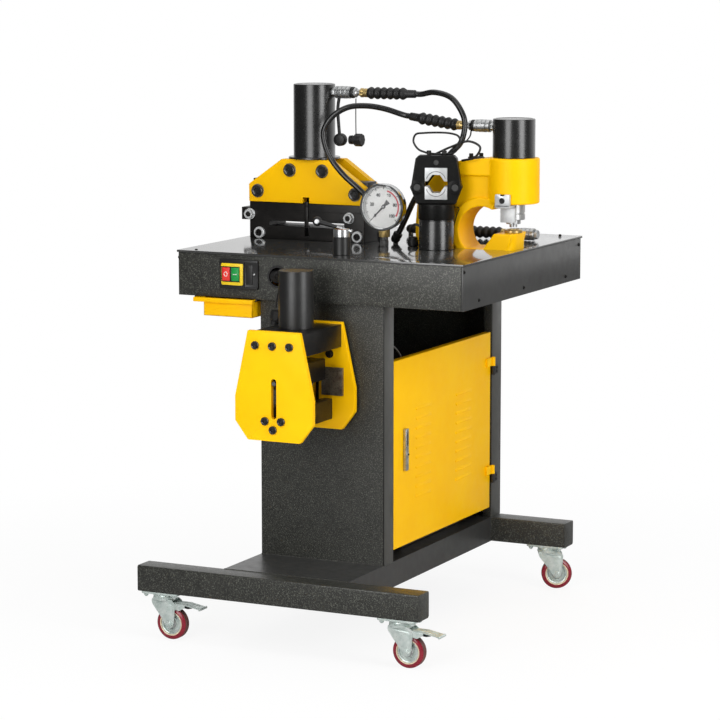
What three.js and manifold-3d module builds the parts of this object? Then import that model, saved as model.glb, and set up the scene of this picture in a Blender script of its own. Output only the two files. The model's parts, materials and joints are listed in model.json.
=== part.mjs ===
// Busbar fabricating tool: a wheeled bench with a hydraulic cutter, punch, crimping head and bender.
// Millimetres, +Z up, +X to the right of somebody who stands at the bender, +Y away from them.
import * as THREE from "three";
import { mergeVertices } from "three/addons/utils/BufferGeometryUtils.js";
import Module from "manifold-3d";

const wasm = await Module();
wasm.setup();

// Fits and small allowances shared by every piece
const seat = 0.3; // between two pieces that rest on each other over a curved or turned face
const slip = 1; // between a sliding piece and its guide
const weld = 1; // how far a fastener or a rib runs into the piece it is part of
const past = 5; // how far a cut runs past the face it opens
const mergeGap = 1e-4;
const roundSides = 20;
const fineSides = 32;
const pinSides = 10;
const tubeSides = 8;
const fittingSides = 16;

// Base and casters
const barLength = 708;
const barWidth = 56;
const barHeight = 60;
const barWall = 3;
const frontBarReach = 213;
const wheelRadius = 37.5;
const wheelWidth = 24;
const wheelHubRadius = 13;
const wheelHubWidth = 30;
const axleRadius = 5;
const casterHeight = 110;
const casterPlateLength = 94;
const casterPlateThickness = 4;
const casterInset = 55;
const casterTrail = 22;
const casterTurnsDeg = { front_left: 0, front_right: 0, rear_left: 205, rear_right: 26 };
const forkHeadRadius = 26;
const forkHeadHeight = 11;
const forkPlate = 2.5;
const pedalReach = 80;
const pedalWidth = 34;
const pedalThickness = 3;

// Column and door
const columnWidth = 315;
const columnSetback = 23.5;
const columnRearSetback = 14;
const columnSheet = 2.5;
const frontStile = 51;
const rearStile = 57;
const stileReturn = 22;
const doorGap = 3;
const doorThickness = 18;
const doorRise = 27;
const doorHeight = 438;
const doorSheet = 2;
const hingeRadius = 5;
const hingeLength = 44;
const hingeInset = 84;
const latchHeight = 98;
const latchWidth = 14;
const latchRise = 226;
const latchInset = 59;
const latchProud = 13;
const latchSpindleRadius = 6;
const camReach = 70;
const ventCount = 5;
const ventLength = 150;
const ventHeight = 6;
const ventPitch = 24;

// Table
const tableWidth = 730;
const tableDepth = 713;
const tableHeight = 874.5;
const tableBox = 105;
const topThickness = 5;
const topOverhang = 3.5;
const skirtSheet = 3;
const bearerWidth = 30;
const bearerSheet = 4;
const outletHoleRadius = 25;
const outletHoleX = -102;
const outletHoleDrop = 50.5;

// Switch and drawer
const switchWidth = 99;
const switchHeight = 68;
const switchProud = 9;
const switchRim = 5;
const switchBackDepth = 18;
const switchX = -199.5;
const switchDrop = 49;
const buttonWidth = 20.5;
const buttonHeight = 32;
const buttonProud = 3;
const buttonDepth = 16;
const buttonSpacing = 24;
const buttonShift = -18.5;
const buttonTravel = 2.5;
const drawerSideGap = 44;
const drawerHeight = 40;
const drawerDepth = 340;
const drawerSheet = 1.5;
const drawerLip = 10;
const drawerFlange = 24;
const drawerColumnGap = 9;
const drawerInnerFlange = 5;
const drawerLipProud = 8;
const drawerDrop = 2;
const railSheet = 2;

// Bender
const benderX = -2;
const benderPlate = 12;
const benderSpan = 197;
const benderSpacer = 11.5;
const benderSpacerSpread = 22;
const benderTopWidth = 130;
const benderWideWidth = 194;
const benderTopDrop = 40;
const benderHeight = 246;
const benderShoulderDrop = 149;
const benderWideHeight = 55;
const benderSlotWidth = 11;
const benderSlotTopDrop = 106;
const benderSlotLength = 90;
const benderHeadHeight = 52;
const benderHeadDrop = 4.5;
const benderCylinderRadius = 38;
const benderCylinderHeight = 130;
const benderRodRadius = 18;
const benderRamWidth = 56;
const benderRamHeight = 48;
const benderRamDrop = 84;
const benderStroke = 38;
const noseWidth = 30;
const noseHeight = 22;
const anvilWidth = 82;
const anvilHeight = 47;
const anvilDrop = 176;
const anvilGroove = 30;
const guidePadWidth = 53;
const guidePadHeight = 64;
const guidePadThickness = 8;
const guidePadDrop = 104;
const boltRadius = 9;
const boltHeight = 7;

// Cutter
const cutterX = -188;
const cutterY = 361;
const cutterWidth = 308;
const cutterPlate = 22;
const cutterGap = 48;
const cutterBaseHeight = 89;
const cutterPlateHeight = 104.5;
const cutterTopWidth = 130;
const cutterSideHeight = 42;
const cutterSetback = 3;
const cutterBlockHeight = 54;
const cutterBlockWidth = 52;
const cutterSlotWidth = 200;
const cutterSlotHeight = 12;
const cutterSlotRise = 32;
const cutterCylinderRadius = 50;
const cutterCylinderHeight = 174;
const cutterFlangeRadius = 62;
const cutterFlangeHeight = 5;
const cutterRodRadius = 20;
const bladeThickness = 12;
const bladeHeight = 34;
const bladeSlope = 10;
const holderHeight = 22;
const cutterStroke = 22;
const cutterNotchWidth = 18;
const cutterNotchHeight = 14.5;
const guideKeyWidth = 9;
const cutterBoltRadius = 15;
const cutterBoltHeight = 8;
const cutterBoltInset = 24;
const clampBlockWidth = 22;
const clampBlockHeight = 30;
const clampBoltRadius = 12;
const clampBoltHeight = 14;

// Punch
const punchX = 329;
const punchY = 363.5;
const punchThickness = 91;
const punchWeb = 77;
const punchReach = 132;
const punchToe = 17;
const punchSink = 69;
const punchJawRise = 37.5;
const punchJawLength = 47;
const punchJawSlope = 27;
const throatRadius = 57;
const throatBack = 63;
const throatRise = 42.5;
const throatRim = 20;
const bossRadius = 60.5;
const bossHeight = 106;
const bossRise = 106.5;
const armDrop = 9;
const armShare = 0.9;
const armRib = 42;
const spineReach = 113;
const spineWeb = 27;
const spineLean = 13;
const spineBend = 50;
const punchCylinderRadius = 49.5;
const punchCylinderHeight = 90;
const punchRodRadius = 27;
const punchRodDrop = 48;
const punchTipRadius = 9;
const punchTipLength = 8;
const punchStroke = 10;
const dieRadius = 21;
const dieHeight = 7;
const stripperWidth = 37;
const stripperHeight = 29;
const stripperThickness = 7;
const stripperPlateDrop = 42;

// Crimping head
const crimpX = 171.5;
const crimpY = 277.5;
const crimpTurnDeg = 20;
const crimpCylinderRadius = 40.5;
const crimpCylinderHeight = 106;
const crimpRing = 1.5;
const crimpGroove = 2;
const crimpCollarHeight = 36;
const crimpHeadDepth = 40;
const crimpNeckWidth = 91;
const crimpWaistWidth = 122;
const crimpTopWidth = 96;
const crimpHeadHeight = 112;
const crimpWaistRise = 38;
const crimpFloor = 10;
const crimpCorner = 7;
const crimpWindowWidth = 53;
const crimpWindowHeight = 74;
const crimpDieWidth = 52;
const crimpDieHeight = 31;
const crimpHexFlat = 20;
const crimpHexDepth = 17;
const crimpRodRadius = 15;
const crimpPinRadius = 9;
const crimpPinProud = 3;
const crimpPinSpread = 44;
const crimpStudRadius = 5.5;
const crimpStudHeight = 11;
const crimpStudSpread = 18;

// Gauge and selector valve
const gaugeX = 37;
const gaugeY = 274;
const gaugeRadius = 56;
const gaugeRise = 93.5;
const gaugeDepth = 28;
const gaugeWall = 4;
const gaugeNutRadius = 12.5;
const gaugeNutHeight = 16;
const gaugeStemRadius = 8;
const needleLength = 38;
const needleTail = 12;
const needleWidth = 3;
const needleThickness = 1.2;
const glassThickness = 2;
const valveX = 27;
const valveY = 73;
const valveRadius = 20;
const valveHeight = 40.5;
const valveCapRadius = 19;
const valveCapHeight = 18;
const valveNeckRadius = 12;
const leverLength = 62;
const leverTail = 27;
const leverRise = 15;
const leverRodRadius = 3.5;
const leverBallRadius = 8.5;

// Hoses and their fittings
const hoseDiameter = 13.5;
const nippleRadius = 8.8;
const nippleLength = 8;
const couplerRadius = 15;
const couplerLength = 39;
const couplerCollarRadius = 13;
const couplerCollarLength = 12;
const probeRadius = 9.5;
const probeLength = 14;
const ferruleRadius = 11;
const ferruleLength = 20;
const ribCount = 6;
const ribPitch = 16.5;
const ribRadius = 14.7;
const ribValley = 11;
const sleeveLength = 25;
const sleeveRadius = 9.8;
const outletRadius = 11;
const outletLength = 16;
const outletRise = 12;
const outletTiltDeg = 29;
const pipeRadius = 6;
const portDrop = 19;
const strapRadius = 2;
const capRadius = 13;
const capLength = 22;
const benderHoseTurn = 60;
const benderRibCount = 3;
const restrictorTiltDeg = 8;
const pumpFeedShift = 30;
const crimpHoseInset = 164;
const crimpHoseEnd = 315;

// Power unit and manifold
const tankWidth = 230;
const tankDepth = 330;
const tankHeight = 150;
const tankSetback = 190;
const motorRadius = 62;
const motorHeight = 210;
const motorFlangeRadius = 76;
const motorFlangeHeight = 12;
const cowlDepth = 46;
const cowlWall = 3;
const fanBladeCount = 6;
const fanBlade = 3;
const shaftRadius = 8;
const manifoldWidth = 95;
const manifoldDepth = 140;
const manifoldHeight = 58;

const material = (color, roughness, metalness) =>
  new THREE.MeshStandardMaterial({ color, roughness, metalness });
const hammerGrey = () => material(0x4c4c48, 0.55, 0.4);
const gloss = () => material(0x2b2b2a, 0.15, 0.5);
const yellow = () => material(0xf6c800, 0.35, 0.05);
const black = () => material(0x1b1b1b, 0.3, 0.4);
const rubber = () => material(0x161616, 0.7, 0);
const steel = () => material(0xb9bcbd, 0.35, 0.9);
const zinc = () => material(0xc3ceca, 0.4, 0.8);
const brass = () => material(0xc9a55b, 0.35, 0.9);
const wheelRed = () => material(0x7a1626, 0.45, 0);
const white = () => material(0xf4f4f0, 0.5, 0);
const green = () => material(0x1f9a4a, 0.4, 0);
const red = () => material(0xd02a25, 0.4, 0);

const bench = new THREE.Group();

// A closed geometry as a manifold solid, and back
function solid(geometry) {
  const plain = geometry.index ? geometry.toNonIndexed() : geometry.clone();
  plain.deleteAttribute("normal");
  plain.deleteAttribute("uv");
  const merged = mergeVertices(plain, mergeGap);
  const mesh = new wasm.Mesh({
    numProp: 3,
    vertProperties: merged.attributes.position.array,
    triVerts: new Uint32Array(merged.index.array),
  });
  return new wasm.Manifold(mesh);
}

function geometryOf(body) {
  const mesh = body.getMesh();
  const positions = new Float32Array(mesh.numVert * 3);
  for (let i = 0; i < mesh.numVert; i++) {
    positions.set(mesh.vertProperties.subarray(i * mesh.numProp, i * mesh.numProp + 3), i * 3);
  }
  const geometry = new THREE.BufferGeometry();
  geometry.setAttribute("position", new THREE.BufferAttribute(positions, 3));
  geometry.setIndex(new THREE.BufferAttribute(mesh.triVerts, 1));
  const flat = geometry.toNonIndexed();
  flat.computeVertexNormals();
  return flat;
}

// Moves every vertex of a geometry by a function of its coordinates
function remap(geometry, where) {
  const p = geometry.attributes.position;
  for (let i = 0; i < p.count; i++) {
    p.setXYZ(i, ...where(p.getX(i), p.getY(i), p.getZ(i)));
  }
  return geometry;
}

const join = (...bodies) => bodies.reduce((whole, body) => whole.add(body));
const cut = (body, ...tools) => tools.reduce((left, tool) => left.subtract(tool), body);

function block([x0, x1], [y0, y1], [z0, z1]) {
  const pick = (share, low, high) => (share > 0 ? high : low);
  const unit = new THREE.BoxGeometry(1, 1, 1);
  return solid(remap(unit, (x, y, z) => [pick(x, x0, x1), pick(y, y0, y1), pick(z, z0, z1)]));
}

const span = (centre, width) => [centre - width / 2, centre + width / 2];

// A flat outline pushed along an axis: pairs are (y, z) for x, (x, z) for y and (x, y) for z
function prism(outline, axis, from, to) {
  const shape = new THREE.Shape(outline.map(([a, b]) => new THREE.Vector2(a, b)));
  const raw = new THREE.ExtrudeGeometry(shape, { depth: 1, bevelEnabled: false });
  const at = (t) => (t > 1 / 2 ? to : from);
  const back = (t) => (t > 1 / 2 ? from : to);
  const where = {
    x: (a, b, t) => [at(t), a, b],
    y: (a, b, t) => [a, back(t), b],
    z: (a, b, t) => [a, b, at(t)],
  };
  return solid(remap(raw, where[axis]));
}

function ring(radius, [a, b] = [0, 0], sides = roundSides) {
  const points = [];
  for (let i = 0; i < sides; i++) {
    const turn = (2 * Math.PI * i) / sides;
    points.push([a + radius * Math.cos(turn), b + radius * Math.sin(turn)]);
  }
  return points;
}

const disc = (axis, centre, radius, from, to, sides = roundSides) =>
  prism(ring(radius, centre, sides), axis, from, to);

// A profile of [radius, height] pairs from axis to axis, turned about an upright axis
function turned(profile, [x, y] = [0, 0], sides = roundSides) {
  const points = profile.map(([r, h]) => new THREE.Vector2(r, h));
  const raw = new THREE.LatheGeometry(points, sides);
  return solid(remap(raw, (a, b, c) => [x + c, y + a, b]));
}

// The same, from a point along any direction, heights measured from the point
function turnedAlong(profile, origin, direction, sides = roundSides) {
  const points = profile.map(([r, h]) => new THREE.Vector2(r, h));
  const raw = new THREE.LatheGeometry(points, sides);
  const aim = new THREE.Quaternion().setFromUnitVectors(
    new THREE.Vector3(0, 1, 0),
    direction.clone().normalize(),
  );
  raw.applyMatrix4(new THREE.Matrix4().compose(origin, aim, new THREE.Vector3(1, 1, 1)));
  return solid(raw);
}

const rodAlong = (radius, origin, direction, from, to, sides = pinSides) =>
  turnedAlong([[0, from], [radius, from], [radius, to], [0, to]], origin, direction, sides);

function rodBetween(a, b, radius, sides = pinSides) {
  const way = b.clone().sub(a);
  return rodAlong(radius, a, way, 0, way.length(), sides);
}

// Straight pipes from point to point, with a ball in each elbow
function pipe(points, radius) {
  const elbows = points.slice(1, -1).map((p) => {
    const ball = new THREE.SphereGeometry(radius, pinSides, tubeSides);
    return solid(ball.translate(p.x, p.y, p.z));
  });
  const runs = points.slice(1).map((p, i) => rodBetween(points[i], p, radius));
  return join(...runs, ...elbows);
}

// A round hose through hand-set points
function hose(points) {
  const route = new THREE.CatmullRomCurve3(points, false, "centripetal");
  const around = ring(hoseDiameter / 2, [0, 0], tubeSides).map((p) => new THREE.Vector2(...p));
  const steps = Math.ceil(route.getLength() / (2 * hoseDiameter));
  return solid(new THREE.ExtrudeGeometry(new THREE.Shape(around), { steps, extrudePath: route }));
}

function add(name, body, finish, parent = bench) {
  const mesh = new THREE.Mesh(geometryOf(body), finish);
  mesh.name = name;
  parent.add(mesh);
  return mesh;
}

const vector = (x, y, z) => new THREE.Vector3(x, y, z);

// Levels and faces that the pieces share
const baseTop = casterHeight + barHeight;
const columnTop = tableHeight - tableBox;
const columnFront = columnSetback;
const columnRear = tableDepth - columnRearSetback;
const columnSide = columnWidth / 2;
const tableSide = tableWidth / 2;
const topUnder = tableHeight - topThickness;
const skirtSide = tableSide - topOverhang;
const skirtFront = topOverhang;
const skirtRear = tableDepth - topOverhang;
const frontBarY = [-frontBarReach, -frontBarReach + barWidth];
const rearBarY = [columnRear - barWidth, columnRear];
const axleZ = wheelRadius;

function hollowBar([y0, y1]) {
  const side = barLength / 2;
  const plateEnd = side - 2 * casterInset;
  const hollowZ = [casterHeight + casterPlateThickness, baseTop - barWall];
  return cut(
    block([-side, side], [y0, y1], [casterHeight, baseTop]),
    block([barWall - side, side - barWall], [y0 + barWall, y1 - barWall], hollowZ),
    block([-plateEnd, plateEnd], [y0 + barWall, y1 - barWall], [casterHeight - past, hollowZ[0] + weld]),
  );
}

const casterX = barLength / 2 - casterInset;
const casters = {
  front_left: [-casterX, (frontBarY[0] + frontBarY[1]) / 2],
  front_right: [casterX, (frontBarY[0] + frontBarY[1]) / 2],
  rear_left: [-casterX, (rearBarY[0] + rearBarY[1]) / 2],
  rear_right: [casterX, (rearBarY[0] + rearBarY[1]) / 2],
};

function baseFrame() {
  const deck = block([-columnSide, columnSide], [frontBarY[1] - weld, rearBarY[0] + weld],
    [baseTop - barWall, baseTop]);
  const rails = [-1, 1].map((side) => {
    const inner = side * (columnSide - barWall);
    const edges = [inner, side * columnSide].sort((a, b) => a - b);
    return block(edges, [frontBarY[1] - weld, rearBarY[0] + weld], [casterHeight, baseTop]);
  });
  const plates = Object.values(casters).map(([x, y]) =>
    block(span(x, casterPlateLength), span(y, barWidth),
      [casterHeight - casterPlateThickness, casterHeight + casterPlateThickness]));
  return join(hollowBar(frontBarY), hollowBar(rearBarY), deck, ...rails, ...plates);
}
add("base_frame", baseFrame(), hammerGrey());

// Swivel caster in its own frame: swivel axis at the origin, wheel trailing towards +X
const forkInside = wheelHubWidth / 2 + slip;
const forkTop = casterHeight - casterPlateThickness - seat;
const pedalPivot = [casterTrail, axleZ + wheelRadius + 2 * pedalThickness + slip];

function casterFork() {
  const head = turned([
    [0, forkTop - forkHeadHeight],
    [forkHeadRadius, forkTop - forkHeadHeight],
    [forkHeadRadius, forkTop - forkHeadHeight / 2],
    [forkHeadRadius - forkPlate, forkTop],
    [0, forkTop],
  ]);
  const foot = 2 * axleRadius;
  const leg = [
    [-forkHeadRadius + forkPlate, forkTop - forkHeadHeight + weld],
    [-forkHeadRadius + forkPlate, forkTop - 2 * forkHeadHeight],
    [casterTrail - foot, axleZ],
    [casterTrail - foot / 2, axleZ - foot],
    [casterTrail + foot / 2, axleZ - foot],
    [casterTrail + foot, axleZ],
    [forkHeadRadius + foot, pedalPivot[1] + foot / 2],
    [forkHeadRadius, forkTop - forkHeadHeight + weld],
  ];
  const legs = [
    prism(leg, "y", -forkInside - forkPlate, -forkInside),
    prism(leg, "y", forkInside, forkInside + forkPlate),
  ];
  const bridgeX = [-forkHeadRadius + forkPlate, forkHeadRadius - forkPlate];
  const bridge = block(bridgeX, [-forkInside - weld, forkInside + weld],
    [forkTop - forkHeadHeight, forkTop - forkHeadHeight / 2]);
  const end = forkInside + forkPlate + axleRadius;
  const axle = disc("y", [casterTrail, axleZ], axleRadius, -end, end, pinSides);
  return join(head, bridge, ...legs, axle);
}

// The wheel stands on a flat of its faceted tread
function casterWheel() {
  const half = wheelWidth / 2;
  const hub = wheelHubWidth / 2;
  const bore = axleRadius + seat;
  const tread = wheelRadius / Math.cos(Math.PI / roundSides);
  const crown = tread - forkPlate;
  const felloe = tread - 3 * forkPlate;
  const profile = [
    [bore, -hub], [wheelHubRadius, -hub], [wheelHubRadius + forkPlate, -half / 2], [felloe, -half / 2],
    [felloe, -half], [crown, -half], [tread, -half / 2], [tread, half / 2],
    [crown, half], [felloe, half], [felloe, half / 2], [wheelHubRadius + forkPlate, half / 2],
    [wheelHubRadius, hub], [bore, hub], [bore, -hub],
  ];
  const wheel = turnedAlong(profile, vector(0, 0, 0), vector(0, 1, 0));
  const halfStep = 180 / roundSides;
  return wheel.rotate([0, halfStep, 0]).translate([casterTrail, 0, axleZ]);
}

function brakePedal() {
  const [x, z] = pedalPivot;
  const half = pedalWidth / 2;
  const t = pedalThickness;
  const side = [
    [x - 2 * t, z], [x - 2 * t, z + t], [x + pedalReach / 2, z + t], [x + pedalReach, z - t],
    [x + pedalReach, z - 2 * t], [x + pedalReach / 2, z],
  ];
  const plate = prism(side, "y", seat - forkInside, forkInside - seat);
  const tread = [
    [x + pedalReach / 2, z], [x + pedalReach / 2, z + t], [x + pedalReach, z - t],
    [x + pedalReach, z - 2 * t],
  ];
  return join(plate, prism(tread, "y", -half, half));
}

for (const [corner, [x, y]] of Object.entries(casters)) {
  const caster = new THREE.Group();
  caster.position.set(x, y, 0);
  caster.rotation.z = THREE.MathUtils.degToRad(casterTurnsDeg[corner]);
  add("caster_fork_" + corner, casterFork(), zinc(), caster);
  add("caster_wheel_" + corner, casterWheel(), wheelRed(), caster);
  if (corner.startsWith("front")) {
    add("brake_pedal_" + corner, brakePedal(), zinc(), caster);
  }
  bench.add(caster);
}

// Column: sheet walls at the front, left and back, two stiles and a doorway at the right
const doorwayY = [columnFront + frontStile, columnRear - rearStile];
const doorBottom = baseTop + doorRise;
const doorTop = doorBottom + doorHeight;
const hingeY = doorwayY[1] - doorGap;
const hingeX = columnSide + hingeRadius + seat;
const hingeLevels = [doorBottom + hingeInset, doorTop - hingeInset];

function column() {
  const s = columnSheet;
  const z = [baseTop, columnTop];
  const openZ = [baseTop - past, columnTop + past];
  const walls = cut(
    block([-columnSide, columnSide], [columnFront, columnRear], z),
    block([s - columnSide, columnSide - s], [columnFront + s, columnRear - s], openZ),
    block([columnSide - s - weld, columnSide + past], doorwayY, openZ),
  );
  const returnX = [columnSide - stileReturn, columnSide];
  const returns = [
    block(returnX, [doorwayY[0] - s, doorwayY[0]], z),
    block(returnX, [doorwayY[1], doorwayY[1] + s], z),
  ];
  const vents = [];
  for (let i = 0; i < ventCount; i++) {
    const rise = (columnTop + baseTop) / 2 + (i - (ventCount - 1) / 2) * ventPitch;
    vents.push(block(span(0, ventLength), [columnRear - s - past, columnRear + past],
      span(rise, ventHeight)));
  }
  const knuckles = hingeLevels.map((level) => {
    const low = [level - hingeLength / 2, level - seat];
    const barrel = disc("z", [hingeX, hingeY], hingeRadius, ...low, pinSides);
    const pin = disc("z", [hingeX, hingeY], hingeRadius / 2, low[0], level + hingeLength / 4, pinSides);
    const leaf = block([columnSide - s, hingeX], [doorwayY[1], doorwayY[1] + rearStile / 2], low);
    const neck = block([columnSide + seat, hingeX], [hingeY, doorwayY[1] + weld], low);
    return join(barrel, pin, leaf, neck);
  });
  return join(cut(walls, ...vents), ...returns, ...knuckles);
}
add("column", column(), hammerGrey());

function cabinetDoor() {
  const y = [doorwayY[0] + doorGap, hingeY - hingeRadius - slip];
  const outer = block([columnSide - doorThickness, columnSide], y, [doorBottom, doorTop]);
  const t = doorSheet;
  const pan = cut(outer, block([columnSide - doorThickness - past, columnSide - t], [y[0] + t, y[1] - t],
    [doorBottom + t, doorTop - t]));
  const knuckles = hingeLevels.map((level) => {
    const high = [level, level + hingeLength / 2];
    const barrel = disc("z", [hingeX, hingeY], hingeRadius, ...high, pinSides);
    const leaf = block([columnSide - t, hingeX], [y[1] - rearStile / 2, hingeY], high);
    return cut(join(barrel, leaf), disc("z", [hingeX, hingeY], hingeRadius / 2 + seat, level - past,
      level + hingeLength / 4 + seat, pinSides));
  });
  const latchY = doorwayY[0] + latchInset;
  const spindle = disc("x", [latchY, doorBottom + latchRise], latchSpindleRadius + seat,
    columnSide - doorThickness - past, columnSide + past, roundSides);
  return cut(join(pan, ...knuckles), spindle);
}
add("cabinet_door", cabinetDoor(), yellow());

// The latch turns about its spindle; its cam hangs at rest and turns behind the front stile
function doorLatch() {
  const y = doorwayY[0] + latchInset;
  const z = doorBottom + latchRise;
  const face = columnSide + seat;
  const grip = block([face, face + latchProud], span(y, latchWidth), span(z, latchHeight));
  const scoop = block([face + latchProud / 2, face + latchProud + past], span(y, latchWidth / 2),
    [z - latchHeight / 4, z + latchHeight / 2 - latchWidth]);
  const camX = [columnSide - stileReturn - doorSheet - slip - weld, columnSide - stileReturn - slip];
  const spindle = disc("x", [y, z], latchSpindleRadius, camX[0], face + weld, roundSides);
  const cam = block(camX, span(y, latchWidth), [z - camReach, z + latchWidth / 2]);
  return join(cut(grip, scoop), spindle, cam);
}
add("door_latch", doorLatch(), steel());

// Table
const outletHole = [outletHoleX, tableHeight - outletHoleDrop];
const switchZ = span(tableHeight - switchDrop, switchHeight);
const drawerX = [drawerSideGap + drawerFlange - skirtSide, -columnSide - drawerColumnGap];
const drawerTop = columnTop - drawerDrop;
const drawerFlangeZ = [drawerTop - drawerSheet, drawerTop];
const drawerFrontY = 0;

// The bender's axis and the line its hose takes through the hole in the front skirt
const benderTopZ = columnTop - benderTopDrop;
const benderRear = columnFront - benderSpacer;
const benderMidY = benderRear - benderPlate - benderSpan / 2;
const benderPortWay = vector(outletHole[0] - benderX, skirtFront - benderMidY, 0).normalize();
const bearerMid = columnFront + bearerSheet / 2 - benderMidY;
const bearerHole = [benderX + (bearerMid * benderPortWay.x) / benderPortWay.y, outletHole[1]];

function tableFrame() {
  const z = [columnTop, topUnder];
  const openZ = [columnTop - past, topUnder + past];
  const s = skirtSheet;
  const skirt = cut(
    block([-skirtSide, skirtSide], [skirtFront, skirtRear], z),
    block([s - skirtSide, skirtSide - s], [skirtFront + s, skirtRear - s], openZ),
    disc("y", outletHole, outletHoleRadius, skirtFront - past, skirtFront + s + past, fineSides),
    block(span(switchX, switchWidth - 2 * switchRim), [skirtFront - past, skirtFront + s + past],
      span(tableHeight - switchDrop, switchHeight - 2 * switchRim)),
  );
  const bearers = [columnFront, columnRear - bearerWidth].map((y) => {
    const flangeY = [y, y + bearerWidth];
    const inside = [-skirtSide + s / 2, skirtSide - s / 2];
    return join(
      block(inside, [y, y + bearerSheet], z),
      block(inside, flangeY, [columnTop, columnTop + bearerSheet]),
      block([-columnSide, columnSide], flangeY, [topUnder - bearerSheet, topUnder]),
    );
  });
  const hoseHole = disc("y", bearerHole, outletHoleRadius, columnFront - past,
    columnFront + bearerSheet + past, roundSides);
  return cut(join(skirt, ...bearers), hoseHole);
}

// A shelf angle on each side carries the drawer's flanges
function drawerRails() {
  const railY = [skirtFront + skirtSheet / 2, drawerDepth];
  const low = drawerFlangeZ[0] - seat;
  const high = columnTop + bearerSheet;
  const outerX = drawerX[0] - drawerFlange - slip;
  const innerX = -columnSide - seat;
  return [
    block([outerX - railSheet, outerX], railY, [low - railSheet, high]),
    block([outerX - railSheet, outerX + drawerFlange / 2], railY, [low - railSheet, low]),
    block([innerX - railSheet, innerX], railY, [low - railSheet, high]),
    block([innerX - drawerInnerFlange, innerX], railY, [low - railSheet, low]),
  ];
}
add("table_frame", join(tableFrame(), ...drawerRails()), hammerGrey());

function drawer() {
  const y = [drawerFrontY, drawerDepth];
  const z = [drawerTop - drawerDrop - drawerHeight, drawerTop];
  const s = drawerSheet;
  const box = cut(block(drawerX, y, z),
    block([drawerX[0] + s, drawerX[1] - s], [y[0] + s, y[1] - s], [z[0] + s, z[1] + past]));
  const flangeY = [skirtFront + skirtSheet + slip, y[1]];
  const outer = block([drawerX[0] - drawerFlange, drawerX[0] + s], flangeY, drawerFlangeZ);
  const inner = block([drawerX[1] - s, drawerX[1] + drawerInnerFlange], flangeY, drawerFlangeZ);
  const lip = block([drawerX[0] - drawerFlange, drawerX[1] + drawerInnerFlange],
    [y[0] - drawerLipProud, y[0] + s], [drawerTop - drawerLip, drawerTop]);
  return join(box, outer, inner, lip);
}
add("drawer", drawer(), yellow());

// Switch: a black box through the front skirt, with a start and a stop button
const switchFace = skirtFront - switchProud;
const buttonZ = span(tableHeight - switchDrop, buttonHeight);
const buttonX = (side) => span(switchX + buttonShift + (side * buttonSpacing) / 2, buttonWidth);

function switchBox() {
  const rim = block(span(switchX, switchWidth), [switchFace, skirtFront], switchZ);
  const back = block(span(switchX, switchWidth - 2 * switchRim - slip),
    [skirtFront - weld, skirtFront + switchBackDepth],
    span(tableHeight - switchDrop, switchHeight - 2 * switchRim - slip));
  const wells = [-1, 1].map((side) => {
    const [x0, x1] = buttonX(side);
    return block([x0 - seat, x1 + seat], [switchFace - past, switchFace + buttonDepth + buttonTravel + slip],
      [buttonZ[0] - seat, buttonZ[1] + seat]);
  });
  return cut(join(rim, back), ...wells);
}
add("switch_box", switchBox(), black());
const pushButton = (side) =>
  block(buttonX(side), [switchFace - buttonProud, switchFace + buttonDepth], buttonZ);
add("stop_button", pushButton(-1), red());
add("start_button", pushButton(1), green());

// Bender, hung on the front of the column
const benderRearPlate = [benderRear - benderPlate, benderRear];
const benderInside = [benderRearPlate[0] - benderSpan, benderRearPlate[0]];
const benderFrontPlate = [benderInside[0] - benderPlate, benderInside[0]];
const benderHeadZ = [benderTopZ - benderHeadDrop - benderHeadHeight, benderTopZ - benderHeadDrop];
const benderRamZ = [benderTopZ - benderRamDrop - benderRamHeight, benderTopZ - benderRamDrop];
const anvilTop = benderTopZ - anvilDrop;
const slotTop = benderTopZ - benderSlotTopDrop;
const guidePinZ = slotTop - benderSlotWidth;

function benderPlateBody(y, boltFace, boltWay) {
  const top = benderTopWidth / 2;
  const wide = benderWideWidth / 2;
  const shoulder = benderTopZ - benderShoulderDrop;
  const foot = benderTopZ - benderHeight;
  const outline = [
    [benderX - top, benderTopZ], [benderX - wide, shoulder],
    [benderX - wide, shoulder - benderWideHeight], [benderX - top, foot],
    [benderX + top, foot], [benderX + wide, shoulder - benderWideHeight],
    [benderX + wide, shoulder], [benderX + top, benderTopZ],
  ];
  const half = benderSlotWidth / 2;
  const slotEnd = slotTop - benderSlotLength;
  const openY = [y[0] - past, y[1] + past];
  const slot = join(
    block([benderX - half, benderX + half], openY, [slotEnd + half, slotTop - half]),
    disc("y", [benderX, slotTop - half], half, ...openY, pinSides),
    disc("y", [benderX, slotEnd + half], half, ...openY, pinSides),
  );
  const headBolt = (benderHeadZ[0] + benderHeadZ[1]) / 2;
  const anvilBolt = anvilTop - anvilHeight / 2;
  const spots = [
    [-benderTopWidth / 3, headBolt], [0, headBolt], [benderTopWidth / 3, headBolt],
    [-anvilWidth / 4, anvilBolt], [anvilWidth / 4, anvilBolt], [0, anvilBolt - anvilHeight / 3],
  ];
  const reach = [boltFace + boltWay * boltHeight, boltFace - boltWay * weld].sort((a, b) => a - b);
  const bolts = spots.map(([x, z]) => disc("y", [benderX + x, z], boltRadius, ...reach, pinSides));
  return join(cut(prism(outline, "y", ...y), slot), ...bolts);
}
add("bender_front_plate", benderPlateBody(benderFrontPlate, benderFrontPlate[0], -1), yellow());

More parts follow.
